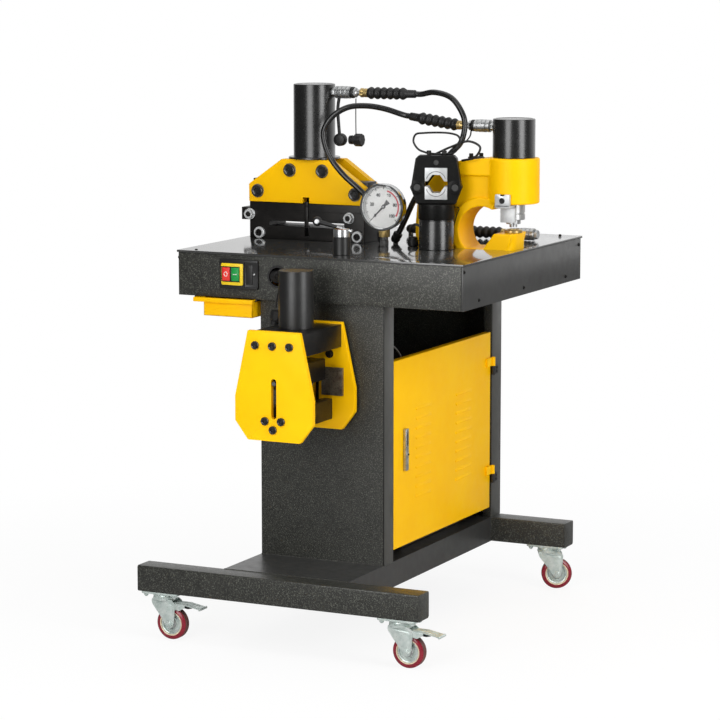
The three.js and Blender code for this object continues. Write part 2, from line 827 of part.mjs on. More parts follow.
// The rear plate carries two guide pads inside and two spacer bars that bolt to the column
function benderRearPlateBody() {
  const pads = [-1, 1].map((side) => {
    const near = benderRamWidth / 2 - benderSlotWidth;
    const edges = [benderX + side * near, benderX + side * (near + guidePadWidth)].sort((a, b) => a - b);
    const top = benderTopZ - guidePadDrop;
    return block(edges, [benderRearPlate[0] - guidePadThickness, benderRearPlate[0] + weld],
      [top - guidePadHeight, top]);
  });
  const bars = [-1, 1].map((side) =>
    block(span(benderX + side * benderSpacerSpread, 2 * boltRadius),
      [benderRear - weld, columnFront], [benderTopZ - benderHeight + past, benderTopZ - past]));
  return join(benderPlateBody(benderRearPlate, benderRear, 1), ...pads, ...bars);
}
add("bender_rear_plate", benderRearPlateBody(), yellow());

function benderHead() {
  const body = block(span(benderX, benderTopWidth - slip), benderInside, benderHeadZ);
  return cut(body, disc("z", [benderX, benderMidY], benderRodRadius + slip,
    benderHeadZ[0] - past, benderHeadZ[1] + past));
}
add("bender_head_block", benderHead(), black());

function benderCylinder() {
  const floor = benderHeadZ[1] + seat;
  const top = floor + benderCylinderHeight;
  const r = benderCylinderRadius;
  const c = 2 * slip;
  const bore = benderRodRadius + slip;
  const profile = [
    [bore, floor], [r, floor], [r, top - c], [r - c, top], [0, top], [0, top - benderPlate],
    [bore, top - benderPlate], [bore, floor],
  ];
  return turned(profile, [benderX, benderMidY], fineSides);
}
add("bender_cylinder", benderCylinder(), gloss());

// Ram: rod, crosshead between the plates, and a guide pin through both slots
function benderRam() {
  const rod = disc("z", [benderX, benderMidY], benderRodRadius, benderRamZ[1] - weld,
    benderHeadZ[1] + benderStroke + benderPlate);
  const crosshead = block(span(benderX, benderRamWidth),
    [benderInside[0] + slip, benderInside[1] - guidePadThickness - slip], benderRamZ);
  const pin = disc("y", [benderX, guidePinZ], benderSlotWidth / 2 - seat, benderFrontPlate[0],
    benderRearPlate[1], pinSides);
  return join(rod, crosshead, pin);
}
add("bender_ram", benderRam(), black());

function benderNose() {
  const half = noseWidth / 2;
  const top = benderRamZ[0];
  const tip = noseWidth / 5;
  const outline = [
    [benderX - half, top], [benderX - tip, top - noseHeight],
    [benderX + tip, top - noseHeight], [benderX + half, top],
  ];
  const inset = benderSpan / 5;
  return prism(outline, "y", benderInside[0] + inset, benderInside[1] - inset);
}
add("bender_nose", benderNose(), steel());

function benderAnvil() {
  const half = anvilWidth / 2;
  const lip = noseWidth / 2 + slip;
  const outline = [
    [benderX - half, anvilTop - anvilHeight], [benderX + half, anvilTop - anvilHeight],
    [benderX + half, anvilTop], [benderX + lip, anvilTop],
    [benderX, anvilTop - anvilGroove], [benderX - lip, anvilTop],
    [benderX - half, anvilTop],
  ];
  return prism(outline, "y", ...benderInside);
}
add("bender_anvil", benderAnvil(), black());

// Cutter: two yellow cheek plates on a black base, cylinder above, blades inside
const cutterPlateY = [cutterY - cutterGap / 2 - cutterPlate, cutterY - cutterGap / 2];
const cutterRearY = [cutterY + cutterGap / 2, cutterY + cutterGap / 2 + cutterPlate];
const cutterInside = [cutterPlateY[1], cutterRearY[0]];
const cutterInsideHalf = cutterGap / 2 - seat;
const cutterBaseTop = tableHeight + cutterBaseHeight;
const cutterTop = cutterBaseTop + cutterPlateHeight;
const cutterSlotZ = [tableHeight + cutterSlotRise, tableHeight + cutterSlotRise + cutterSlotHeight];
const cutterBaseFront = cutterPlateY[0] + cutterSetback;
const bladeX = span(cutterX, cutterSlotWidth - 2 * slip);
const movingBladeY = [cutterY - bladeThickness, cutterY];
const bladeTip = cutterSlotZ[1] + slip;
const keyX = span(cutterX, guideKeyWidth);
const holderZ = [bladeTip + bladeHeight, bladeTip + bladeHeight + holderHeight];

function cutterPlateBody(y, boltFace, boltWay) {
  const top = cutterTopWidth / 2;
  const wide = cutterWidth / 2;
  const sideTop = cutterBaseTop + cutterSideHeight;
  const outline = [
    [cutterX - wide, cutterBaseTop], [cutterX + wide, cutterBaseTop], [cutterX + wide, sideTop],
    [cutterX + top, cutterTop], [cutterX - top, cutterTop], [cutterX - wide, sideTop],
  ];
  const notch = block(span(cutterX, cutterNotchWidth), [y[0] - past, y[1] + past],
    [cutterBaseTop - past, cutterBaseTop + cutterNotchHeight]);
  const spots = [
    [cutterTopWidth / 3, cutterBaseTop + (cutterPlateHeight * 3) / 4],
    [cutterWidth / 2 - cutterBoltInset, cutterBaseTop + cutterPlateHeight / 4],
  ];
  const reach = [boltFace + boltWay * cutterBoltHeight, boltFace - boltWay * weld].sort((a, b) => a - b);
  const bolts = [];
  for (const [x, z] of spots) {
    for (const side of [-1, 1]) {
      bolts.push(disc("y", [cutterX + side * x, z], cutterBoltRadius, ...reach, pinSides));
    }
  }
  return join(cut(prism(outline, "y", ...y), notch), ...bolts);
}
add("cutter_front_plate", cutterPlateBody(cutterPlateY, cutterPlateY[0], -1), yellow());
add("cutter_rear_plate", cutterPlateBody(cutterRearY, cutterRearY[1], 1), yellow());

// The base is open where the busbar goes through and where the blade comes down
function cutterBase() {
  const wide = cutterWidth / 2;
  const left = cutterX - wide;
  const right = cutterX + wide;
  const lowZ = [tableHeight, cutterBaseTop - seat];
  const lower = block([left, right], [cutterBaseFront, cutterRearY[1] - cutterSetback], lowZ);
  const blockY = [cutterInside[0] + seat, cutterInside[1] - seat];
  const blockZ = [cutterBaseTop - weld, cutterBaseTop + cutterBlockHeight];
  const uppers = [[left, left + cutterBlockWidth], [right - cutterBlockWidth, right]].map((x) =>
    block(x, blockY, blockZ));
  const through = [cutterPlateY[0] - past, cutterRearY[1] + past];
  const busbarSlot = block(span(cutterX, cutterSlotWidth), through, cutterSlotZ);
  const bladeWell = block([bladeX[0] - slip, bladeX[1] + slip],
    [movingBladeY[0] - slip, cutterY + bladeThickness + slip],
    [cutterSlotZ[0] - cutterStroke, blockZ[1] + past]);
  const keySlot = block([keyX[0] - slip, keyX[1] + slip], [through[0], movingBladeY[0]],
    [cutterSlotZ[0] - cutterStroke - slip, cutterBaseTop + past]);
  const rodWell = disc("z", [cutterX, cutterY], cutterRodRadius + slip,
    cutterBaseTop - cutterStroke, cutterBaseTop + past);
  const boltX = wide - cutterBoltInset;
  const lowBolts = [-1, 1].map((side) =>
    disc("y", [cutterX + side * boltX, tableHeight + cutterBoltRadius - cutterSetback + slip],
      cutterBoltRadius - cutterSetback, cutterBaseFront - cutterBoltHeight,
      cutterBaseFront + weld, pinSides));
  const clampZ = cutterBaseTop - clampBlockHeight;
  const clampBlock = block([left - clampBlockWidth, left + weld],
    [cutterBaseFront, cutterY], span(clampZ, clampBlockHeight));
  const clampBolts = [left + slip, right - cutterBlockWidth / 2].map((x) =>
    disc("y", [x, clampZ], clampBoltRadius, cutterBaseFront - clampBoltHeight,
      cutterBaseFront + weld, pinSides));
  return join(cut(join(lower, ...uppers), busbarSlot, bladeWell, keySlot, rodWell),
    ...lowBolts, clampBlock, ...clampBolts);
}
add("cutter_base", cutterBase(), black());

// The lower blade stands on the floor of the blade well, its edge level with the slot floor
const lowerBlade = block([bladeX[0], bladeX[1]], [cutterY + seat, cutterY + bladeThickness],
  [cutterSlotZ[0] - cutterStroke + seat, cutterSlotZ[0]]);
add("cutter_lower_blade", lowerBlade, steel());

function upperBlade() {
  const outline = [
    [bladeX[0], bladeTip], [bladeX[1], bladeTip + bladeSlope],
    [bladeX[1], holderZ[0]], [bladeX[0], holderZ[0]],
  ];
  return prism(outline, "y", ...movingBladeY);
}
add("cutter_upper_blade", upperBlade(), steel());

function cutterRam() {
  const holder = block(bladeX, [movingBladeY[0], cutterY + bladeThickness], holderZ);
  const key = block(keyX, [cutterBaseFront - cutterSetback, movingBladeY[0] + weld],
    [holderZ[0], holderZ[0] + cutterNotchHeight - slip]);
  const shank = block(keyX, [cutterBaseFront - cutterSetback, cutterBaseFront + cutterSetback],
    [cutterSlotZ[0], holderZ[0] + weld]);
  const rod = disc("z", [cutterX, cutterY], cutterRodRadius, holderZ[1] - weld,
    cutterTop + cutterStroke + cutterFlangeHeight);
  return join(holder, key, shank, rod);
}
add("cutter_ram", cutterRam(), black());

function cutterCylinder() {
  const r = cutterCylinderRadius;
  const seatZ = cutterTop + seat;
  const top = cutterTop + cutterFlangeHeight + cutterCylinderHeight;
  const c = 2 * slip;
  const bore = cutterRodRadius + slip;
  const neckZ = holderZ[1] + cutterFlangeHeight;
  const profile = [
    [bore, neckZ], [cutterInsideHalf, neckZ], [cutterInsideHalf, seatZ], [cutterFlangeRadius, seatZ],
    [cutterFlangeRadius, seatZ + cutterFlangeHeight], [r, seatZ + cutterFlangeHeight],
    [r, top - c], [r - c, top], [0, top], [0, top - cutterPlate], [bore, top - cutterPlate], [bore, neckZ],
  ];
  return turned(profile, [cutterX, cutterY], fineSides);
}
add("cutter_cylinder", cutterCylinder(), gloss());

// Punch: a cast C frame let down through the table top
const bossZ = [tableHeight + bossRise, tableHeight + bossRise + bossHeight];
const punchY0 = punchY - punchThickness / 2;
const punchY1 = punchY + punchThickness / 2;
const punchLeft = punchX - punchReach;
const punchRight = punchX + punchToe;
const jawTop = tableHeight + punchJawRise;
const throatCentre = [punchX - throatBack, tableHeight + throatRise];

function punchOutline() {
  const low = tableHeight - punchSink;
  const armLeft = punchLeft + armDrop;
  const throat = [];
  const steps = fineSides / 4;
  const startTurn = Math.PI * (3 / 2) - Math.asin((punchJawSlope - punchJawRise / 2) / throatRadius);
  const endTurn = Math.PI / 3;
  for (let i = 0; i <= steps; i++) {
    const turn = startTurn + ((endTurn - startTurn) * i) / steps;
    throat.push([
      throatCentre[0] + throatRadius * Math.cos(turn),
      Math.max(throatCentre[1] + throatRadius * Math.sin(turn), tableHeight + slip),
    ]);
  }
  return [
    [punchLeft, low], [punchRight, low], [punchRight, jawTop],
    [punchX - punchJawLength + punchToe, jawTop],
    [punchX - punchJawLength + punchToe - punchJawSlope, tableHeight + slip],
    ...throat,
    [punchX - punchRodRadius - 2 * slip, bossZ[0]],
    [punchX, bossZ[0] + slip], [punchX, bossZ[1] - slip],
    [punchX - bossRadius * armShare, bossZ[1] - slip],
    [armLeft, bossZ[1] - armDrop], [armLeft, bossZ[1] - armRib],
    [punchLeft, bossZ[0] - armRib / 2],
  ];
}

// The frame's back, a thinner web that stands on the table behind the crimping head
function punchSpine() {
  const low = tableHeight + seat;
  const left = punchLeft - spineReach;
  const inside = punchLeft + armDrop + weld;
  return prism([
    [left, low], [punchLeft + weld, low], [punchLeft + weld, bossZ[0] - armRib / 2],
    [inside, bossZ[1] - armRib], [inside, bossZ[1] - 2 * armDrop],
    [left + spineLean, bossZ[1] - armRib / 2], [left, tableHeight + spineBend],
  ], "y", ...span(punchY, spineWeb));
}

function punchFrame() {
  const outline = punchOutline();
  const webY = span(punchY, punchWeb);
  const bossY = [punchY0, punchY1];
  const web = prism(outline, "y", ...webY);
  const whole = prism(outline, "y", ...bossY);
  const rimDisc = disc("y", throatCentre, throatRadius + throatRim, punchY0 - past,
    punchY1 + past, fineSides);
  const far = [punchLeft - past, punchX];
  const topBand = block(far, [punchY0 - past, punchY1 + past], [bossZ[1] - armRib, bossZ[1] + past]);
  const jawBand = block([punchX - punchJawLength - punchJawSlope, punchRight + past],
    [punchY0 - past, punchY1 + past], [tableHeight - punchSink - past, jawTop + past]);
  const rims = [rimDisc, topBand, jawBand].map((band) => whole.intersect(band));
  const boss = disc("z", [punchX, punchY], bossRadius, ...bossZ, fineSides);
  const bore = disc("z", [punchX, punchY], punchRodRadius + slip, bossZ[0] - past,
    bossZ[1] + past, roundSides);
  const slug = disc("z", [punchX, punchY], punchTipRadius + slip, tableHeight - punchSink - past,
    jawTop + past, roundSides);
  return cut(join(web, ...rims, boss, punchSpine()), bore, slug);
}
add("punch_frame", punchFrame(), yellow());

function punchCylinder() {
  const r = punchCylinderRadius;
  const floor = bossZ[1] + seat;
  const top = floor + punchCylinderHeight;
  const c = 2 * slip;
  const bore = punchRodRadius + slip;
  const profile = [
    [bore, floor], [r, floor], [r, top - c], [r - c, top], [0, top], [0, top - bossRise / 5],
    [bore, top - bossRise / 5], [bore, floor],
  ];
  return turned(profile, [punchX, punchY], fineSides);
}
add("punch_cylinder", punchCylinder(), gloss());

function punchRam() {
  const low = bossZ[0] - punchRodDrop;
  const r = punchRodRadius;
  const c = 2 * slip;
  const groove = low + punchRodDrop / 2;
  const profile = [
    [0, low - punchTipLength], [punchTipRadius, low - punchTipLength], [punchTipRadius, low],
    [r - c, low], [r, low + c], [r, groove], [r - c, groove + slip], [r - c, groove + c + slip],
    [r, groove + 2 * c], [r, bossZ[1] + punchStroke + past], [0, bossZ[1] + punchStroke + past],
  ];
  return turned(profile, [punchX, punchY]);
}
add("punch_ram", punchRam(), steel());

function punchDie() {
  const profile = [
    [punchTipRadius + seat, jawTop + seat], [dieRadius, jawTop + seat],
    [dieRadius, jawTop + dieHeight - slip], [dieRadius - slip, jawTop + dieHeight],
    [punchTipRadius + seat, jawTop + dieHeight], [punchTipRadius + seat, jawTop + seat],
  ];
  return turned(profile, [punchX, punchY]);
}
add("punch_die", punchDie(), steel());

// Stripper: a bracket on the front of the boss and a plate that hangs beside the punch
function punchStripper() {
  const x = span(punchX, stripperWidth);
  const face = punchY - bossRadius - seat;
  const bracket = block(x, [face - stripperThickness, face],
    [bossZ[0] - slip * 4, bossZ[0] - slip * 4 + stripperHeight]);
  const ramFace = punchY - punchRodRadius - slip;
  const plateY = [ramFace - stripperThickness, ramFace];
  const shelfZ = [bossZ[0] - slip - stripperThickness, bossZ[0] - slip];
  const shelf = block(x, [face - stripperThickness, plateY[1]], shelfZ);
  const plate = block(x, plateY, [shelfZ[0] - stripperPlateDrop + stripperThickness, shelfZ[1]]);
  const screw = disc("y", [punchX, bossZ[0] + stripperHeight / 2 - slip * 4], stripperThickness,
    face - stripperThickness - slip * 2, face - stripperThickness + weld, pinSides);
  return join(bracket, shelf, plate, screw);
}
add("punch_stripper", punchStripper(), steel());

// Crimping head, turned a little towards the front right
const crimp = new THREE.Group();
crimp.position.set(crimpX, crimpY, 0);
crimp.rotation.z = THREE.MathUtils.degToRad(crimpTurnDeg);
bench.add(crimp);
const crimpCylinderTop = tableHeight + seat + crimpCylinderHeight;
const crimpFloorZ = crimpCylinderTop + seat + crimpFloor;
const crimpRodLow = crimpCylinderTop - crimpCollarHeight;

function crimpCylinder() {
  const r = crimpCylinderRadius;
  const low = tableHeight + seat;
  const split = crimpCylinderTop - crimpCollarHeight;
  const bore = crimpRodRadius + slip;
  const wide = r + crimpRing;
  const narrow = r - crimpRing;
  const profile = [
    [0, low], [r, low], [r, split - crimpGroove], [narrow, split - crimpGroove], [narrow, split],
    [wide, split], [wide, crimpCylinderTop], [bore, crimpCylinderTop], [bore, crimpRodLow - slip],
    [0, crimpRodLow - slip],
  ];
  return turned(profile, [0, 0], fineSides);
}
add("crimp_cylinder", crimpCylinder(), gloss(), crimp);

function crimpHead() {
  const low = crimpCylinderTop + seat;
  const top = low + crimpHeadHeight;
  const neck = crimpNeckWidth / 2;
  const waist = crimpWaistWidth / 2;
  const crown = crimpTopWidth / 2;
  const corner = crimpCorner;
  const waistZ = low + crimpWaistRise;
  const half = [
    [neck, low], [waist - corner / 2, waistZ - corner], [waist, waistZ],
    [waist - corner / 2, waistZ + corner],
    [crown, top - corner], [crown - corner, top],
  ];
  const outline = [...half, ...half.map(([x, z]) => [-x, z]).reverse()];
  const depth = crimpHeadDepth / 2;
  const body = prism(outline, "y", -depth, depth);
  const windowX = crimpWindowWidth / 2;
  const windowCut = block([-windowX, windowX], [-depth - past, depth + past],
    [crimpFloorZ, crimpFloorZ + crimpWindowHeight]);
  const rodHole = disc("z", [0, 0], crimpRodRadius + slip, low - past, crimpFloorZ + past, roundSides);
  const face = [-depth - crimpPinProud, depth + crimpPinProud];
  const pins = [-1, 1].map((side) =>
    disc("y", [side * crimpPinSpread, waistZ], crimpPinRadius, ...face, pinSides));
  const screw = disc("y", [0, top - corner - crimpPinRadius], crimpPinRadius - crimpPinProud,
    -depth - slip, weld - depth, pinSides);
  const studs = [-1, 1].map((side) =>
    disc("z", [side * crimpStudSpread, 0], crimpStudRadius, top - weld, top + crimpStudHeight, pinSides));
  return join(cut(body, windowCut, rodHole), ...pins, screw, ...studs);
}
add("crimp_head", crimpHead(), black(), crimp);

// Half of the hexagon that presses a cable lug, its rim towards the other half
function halfHex(rimZ, depth) {
  const wide = crimpDieWidth / 2 - 2 * slip;
  const flat = crimpHexFlat / 2;
  return [[wide, rimZ], [flat, rimZ + depth], [-flat, rimZ + depth], [-wide, rimZ]];
}

function crimpUpperDie() {
  const half = crimpDieWidth / 2;
  const top = crimpFloorZ + crimpWindowHeight - seat;
  const rim = top - crimpDieHeight;
  const hex = halfHex(rim, crimpHexDepth).reverse();
  const outline = [[half, rim], [half, top], [-half, top], [-half, rim], ...hex];
  const depth = crimpHeadDepth / 2;
  return prism(outline.reverse(), "y", -depth, depth);
}
add("crimp_upper_die", crimpUpperDie(), steel(), crimp);

function crimpLowerDie() {
  const half = crimpDieWidth / 2;
  const low = crimpFloorZ + seat;
  const rim = low + crimpDieHeight - slip;
  const hex = halfHex(rim, -crimpHexDepth);
  const outline = [[-half, low], [half, low], [half, rim], ...hex, [-half, rim]];
  const depth = crimpHeadDepth / 2;
  const rod = disc("z", [0, 0], crimpRodRadius, crimpRodLow, low + weld, roundSides);
  return join(prism(outline, "y", -depth, depth), rod);
}
add("crimp_lower_die", crimpLowerDie(), steel(), crimp);

// Pressure gauge
const gaugeZ = tableHeight + gaugeRise;
const gaugeFront = gaugeY - gaugeDepth / 2;
const dialY = gaugeY;
const needleY = [dialY - 2 * needleThickness, dialY - needleThickness];
const glassY = [gaugeFront + slip, gaugeFront + slip + glassThickness];

function gaugeCase() {
  const r = gaugeRadius;
  const inner = r - gaugeWall;
  const well = dialY - gaugeFront;
  const profile = [
    [0, well], [inner, well], [inner, 0], [r - slip, 0], [r, slip * 2], [r, gaugeDepth / 3],
    [r - gaugeWall / 2, gaugeDepth / 3 + slip], [r - gaugeWall / 2, gaugeDepth - slip * 2],
    [r - gaugeWall, gaugeDepth], [0, gaugeDepth],
  ];
  const drum = turnedAlong(profile, vector(gaugeX, gaugeFront, gaugeZ), vector(0, 1, 0), fineSides);
  const spigot = disc("y", [gaugeX, gaugeZ], needleWidth - slip, needleY[0] - needleThickness, dialY + weld,
    pinSides);
  const nutTop = gaugeZ - gaugeRadius + slip;
  const stemY = gaugeY + gaugeDepth / 6;
  const nutZ = [nutTop - gaugeNutHeight, nutTop + gaugeWall];
  const nut = disc("z", [gaugeX, stemY], gaugeNutRadius, ...nutZ, 6);
  const stem = disc("z", [gaugeX, stemY], gaugeStemRadius, tableHeight, nutZ[0] + weld, roundSides);
  return join(drum, spigot, nut, stem);
}
add("gauge_case", gaugeCase(), steel());

function gaugeNeedle() {
  const rest = THREE.MathUtils.degToRad(225);
  const along = (reach, aside) => [
    gaugeX + reach * Math.cos(rest) - aside * Math.sin(rest),
    gaugeZ + reach * Math.sin(rest) + aside * Math.cos(rest),
  ];
  const w = needleWidth / 2;
  const outline = [along(-needleTail, -w), along(needleLength, -w / 5), along(needleLength, w / 5),
    along(-needleTail, w)];
  const hub = disc("y", [gaugeX, gaugeZ], 2 * needleWidth, ...needleY, roundSides);
  const bore = disc("y", [gaugeX, gaugeZ], needleWidth - slip + seat, needleY[0] - past,
    needleY[1] + past, pinSides);
  return cut(join(prism(outline, "y", ...needleY), hub), bore);
}
add("gauge_needle", gaugeNeedle(), black());
const glassRadius = gaugeRadius - gaugeWall - seat;
add("gauge_glass", disc("y", [gaugeX, gaugeZ], glassRadius, ...glassY, fineSides), steel());

// Selector valve and its lever
const valveTop = tableHeight + valveHeight;
const manifoldTop = topUnder;

function valveBody() {
  const neck = disc("z", [valveX, valveY], valveNeckRadius, manifoldTop, tableHeight + weld, roundSides);
  const drum = disc("z", [valveX, valveY], valveRadius, tableHeight, valveTop, fineSides);
  const spindle = disc("z", [valveX, valveY], leverBallRadius / 2, valveTop - weld,
    valveTop + valveCapHeight / 2, pinSides);
  return join(neck, drum, spindle);
}
add("valve_body", valveBody(), black());

function valveLever() {
  const low = valveTop + seat;
  const high = low + valveCapHeight;
  const well = valveTop + valveCapHeight / 2 + seat;
  const bore = leverBallRadius / 2 + seat;
  const profile = [
    [bore, low], [valveCapRadius, low], [valveCapRadius, high - slip], [valveCapRadius - slip, high],
    [0, high], [0, well], [bore, well], [bore, low],
  ];
  const cap = turned(profile, [valveX, valveY], fineSides);
  const grip = vector(valveX - leverLength, valveY, high + leverRise);
  const tail = vector(valveX + leverTail, valveY, high - leverRise / 3);
  const rod = rodBetween(grip, tail, leverRodRadius);
  const ball = new THREE.SphereGeometry(leverBallRadius, fittingSides, pinSides);
  return join(cap, rod, solid(ball.translate(grip.x, grip.y, grip.z)));
}
add("valve_lever", valveLever(), steel());

// Coupler, brass ferrule and ribbed bend restrictor of one hose end, in one run
const couplerSteps = [
  [nippleRadius, nippleLength], [couplerRadius, couplerLength],
  [couplerCollarRadius, couplerCollarLength], [probeRadius, probeLength],
  [ferruleRadius, ferruleLength],
];
const couplerReach = couplerSteps.reduce((sum, [, length]) => sum + length, 0);
const restrictorReach = (ribs) => ribs * ribPitch + sleeveLength;

function stepped(steps) {
  let h = 0;
  const profile = [[0, h]];
  for (const [r, length] of steps) {
    profile.push([r, h], [r, h + length]);
    h += length;
  }
  return [...profile, [0, h]];
}

function fitting(origin, way, ribs = ribCount, restrictorWay = way) {
  const coupler = turnedAlong(stepped(couplerSteps), origin, way, fittingSides);
  const profile = [[0, -weld], [ribValley, -weld]];
  for (let i = 0; i < ribs; i++) {
    profile.push([ribRadius, (i + 1 / 2) * ribPitch], [ribValley, (i + 1) * ribPitch]);
  }
  const end = restrictorReach(ribs);
  profile.push([sleeveRadius, end - sleeveLength + weld], [sleeveRadius, end], [0, end]);
  const start = origin.clone().addScaledVector(way, couplerReach);
  return join(coupler, turnedAlong(profile, start, restrictorWay, fittingSides));
}

// Where the hose leaves a fitting, with the point that keeps its first stretch straight
function exits(origin, way, ribs = ribCount, restrictorWay = way) {
  const start = origin.clone().addScaledVector(way, couplerReach);
  const leave = restrictorReach(ribs) + seat;
  return [leave, leave + hoseDiameter].map((t) => start.clone().addScaledVector(restrictorWay, t));
}

// A dust cap that hangs on its strap
function dustCap(from, to) {
  const cap = disc("z", [to.x, to.y], capRadius, to.z - capLength, to.z);
  return join(rodBetween(from, vector(to.x, to.y, to.z - weld), strapRadius, tubeSides), cap);
}

const right = vector(1, 0, 0);
const left = vector(-1, 0, 0);
const cutterPort = vector(cutterX + cutterCylinderRadius + seat, cutterY,
  cutterTop + cutterFlangeHeight + cutterCylinderHeight - portDrop);
const punchPort = vector(punchX - punchCylinderRadius - seat, punchY,
  bossZ[1] + seat + punchCylinderHeight - portDrop);
const tilt = THREE.MathUtils.degToRad(restrictorTiltDeg);
const punchWay = vector(-Math.cos(tilt), 0, Math.sin(tilt));
const benderPort = vector(benderX, benderMidY, outletHole[1])
  .addScaledVector(benderPortWay, benderCylinderRadius + seat);
const crimpHoseY = tableDepth - crimpHoseInset;
const crimpHoseZ = tableHeight + couplerRadius + seat;
const crimpPort = vector(crimpHoseEnd, crimpHoseY, crimpHoseZ);

const cutterCapX = [nippleLength + couplerLength / 3, couplerReach - ferruleLength - probeLength / 2];
const cutterCaps = cutterCapX.map((x) => {
  const top = cutterPort.clone().add(vector(x, -couplerCollarRadius + strapRadius, 0));
  return dustCap(top, vector(top.x, top.y - capRadius, top.z - cutterPlateHeight));
});
add("fitting_cutter", join(fitting(cutterPort, right), ...cutterCaps), zinc());
add("fitting_punch", fitting(punchPort, left, ribCount, punchWay), zinc());
add("fitting_crimp", fitting(crimpPort, left), zinc());
add("fitting_bender", fitting(benderPort, benderPortWay, benderRibCount), zinc());

// Outlets on the table: a pipe comes up through the top and a sleeve points the hose on its way
const tip = THREE.MathUtils.degToRad(outletTiltDeg);
const outlets = {
  cutter: { at: [35.5, 344], way: vector(Math.sin(tip), 0, Math.cos(tip)) },
  punch: { at: [8, 327], way: vector(0, 0, 1) },
  crimp: { at: [-20, crimpHoseY], way: right },
};
function outletElbow({ at: [x, y], way }) {
  const rise = way === right ? couplerRadius + seat : outletRise;
  return vector(x, y, tableHeight + rise);
}
const outletLeaves = ({ at, way }) =>
  [outletLength + seat + hoseDiameter, outletLength + seat].map((t) =>
    outletElbow({ at, way }).addScaledVector(way, t));

const cutterHose = [
  ...exits(cutterPort, right),
  vector(128.9, 355, 1233.6), vector(177, 346, 1222.3), vector(207.8, 338, 1189.9),
  vector(218.3, 332, 1162.5), vector(210.5, 327, 1120.4), vector(187, 325, 1096),
  vector(146, 326, 1054), vector(116.5, 329, 1018.5), vector(90.5, 334, 984.7),
  vector(62, 341, 934),
  ...outletLeaves(outlets.cutter),
];
const punchHose = [
  ...exits(punchPort, left, ribCount, punchWay),
  vector(4.9, 345, 1192.7), vector(-34, 327, 1199.3), vector(-73.1, 307, 1195.6),
  vector(-106.8, 291, 1172.7), vector(-124.7, 285, 1141.2), vector(-121.3, 285, 1107.1),
  vector(-105.7, 289, 1071.4), vector(-76, 293, 1036.4), vector(-37.5, 299, 1002.9),
  vector(-10.3, 309, 972.4), vector(3.5, 320, 940),
  ...outletLeaves(outlets.punch),
];
add("hose_cutter", hose(cutterHose), rubber());
add("hose_punch", hose(punchHose), rubber());
add("hose_crimp", hose([...exits(crimpPort, left), ...outletLeaves(outlets.crimp)]), rubber());

// The bender's hose turns under the table and runs to the side of the manifold
const manifoldX = span(valveX, manifoldWidth);
const manifoldFront = columnFront + bearerWidth + slip;
const manifoldY = [manifoldFront, manifoldFront + manifoldDepth];
const manifoldZ = [topUnder - manifoldHeight, topUnder];
const [benderExit, benderLead] = exits(benderPort, benderPortWay, benderRibCount);
const turnCentre = benderLead.clone()
  .add(vector(benderPortWay.y, -benderPortWay.x, 0).multiplyScalar(benderHoseTurn));
const benderHose = [benderExit];
const turnFrom = Math.atan2(benderLead.y - turnCentre.y, benderLead.x - turnCentre.x) + 2 * Math.PI;
for (let i = 0; i <= tubeSides; i++) {
  const turn = turnFrom + ((Math.PI / 2 - turnFrom) * i) / tubeSides;
  const reach = vector(Math.cos(turn), Math.sin(turn), 0).multiplyScalar(benderHoseTurn);
  benderHose.push(turnCentre.clone().add(reach));
}
const manifoldPort = vector(manifoldX[0] - outletLength, turnCentre.y + benderHoseTurn, outletHole[1]);
benderHose.push(
  manifoldPort.clone().add(vector(-hoseDiameter - seat, 0, 0)),
  manifoldPort.clone().add(vector(-seat, 0, 0)),
);
add("hose_bender", hose(benderHose), rubber());

// Power unit in the column: tank, pump motor and its cooling fan
const tankTop = baseTop + tankHeight;
const tankY = [columnFront + tankSetback, columnFront + tankSetback + tankDepth];
const motorAxis = [0, (tankY[0] + tankY[1]) / 2];
const cowlTop = tankTop + motorHeight;
const cowlFloor = cowlTop - cowlDepth;

function oilTank() {
  const body = block(span(0, tankWidth), tankY, [baseTop, tankTop]);
  const neckAt = [tankWidth / 2 - outletHoleRadius, tankY[0] + outletHoleRadius];
  const neck = disc("z", neckAt, couplerRadius, tankTop - weld, tankTop + couplerRadius);
  const capDisc = disc("z", neckAt, couplerRadius + slip * 4, tankTop + couplerRadius - weld,
    tankTop + 2 * couplerRadius);
  return join(body, neck, capDisc);
}
add("oil_tank", oilTank(), hammerGrey());

function pumpMotor() {
  const inner = motorRadius - cowlWall;
  const profile = [
    [0, tankTop], [motorFlangeRadius, tankTop], [motorFlangeRadius, tankTop + motorFlangeHeight],
    [motorRadius, tankTop + motorFlangeHeight], [motorRadius, cowlTop], [inner, cowlTop],
    [inner, cowlFloor], [shaftRadius, cowlFloor], [shaftRadius, cowlFloor + cowlDepth / 2],
    [0, cowlFloor + cowlDepth / 2],
  ];
  const bars = [0, 1].map((quarter) => {
    const long = [motorAxis[quarter] - inner - weld, motorAxis[quarter] + inner + weld];
    const thin = span(motorAxis[1 - quarter], cowlWall * 2);
    return block(quarter ? thin : long, quarter ? long : thin, [cowlTop - cowlWall, cowlTop]);
  });
  return join(turned(profile, motorAxis, fineSides), ...bars);
}
add("pump_motor", pumpMotor(), rubber());

function motorFan() {
  const reach = motorRadius - 2 * cowlWall;
  const low = cowlFloor + slip;
  const high = cowlFloor + cowlDepth / 2 - slip;
  const hub = disc("z", motorAxis, 2 * shaftRadius, low, high);
  const blades = [];
  for (let i = 0; i < fanBladeCount; i++) {
    const turn = (360 * i) / fanBladeCount;
    const blade = block([shaftRadius + slip * 2, reach], span(0, fanBlade), [low, high]);
    blades.push(blade.rotate([0, 0, turn]).translate([...motorAxis, 0]));
  }
  const bore = disc("z", motorAxis, shaftRadius + seat, low - past, high + past, roundSides);
  return cut(join(hub, ...blades), bore);
}
add("motor_fan", motorFan(), white());

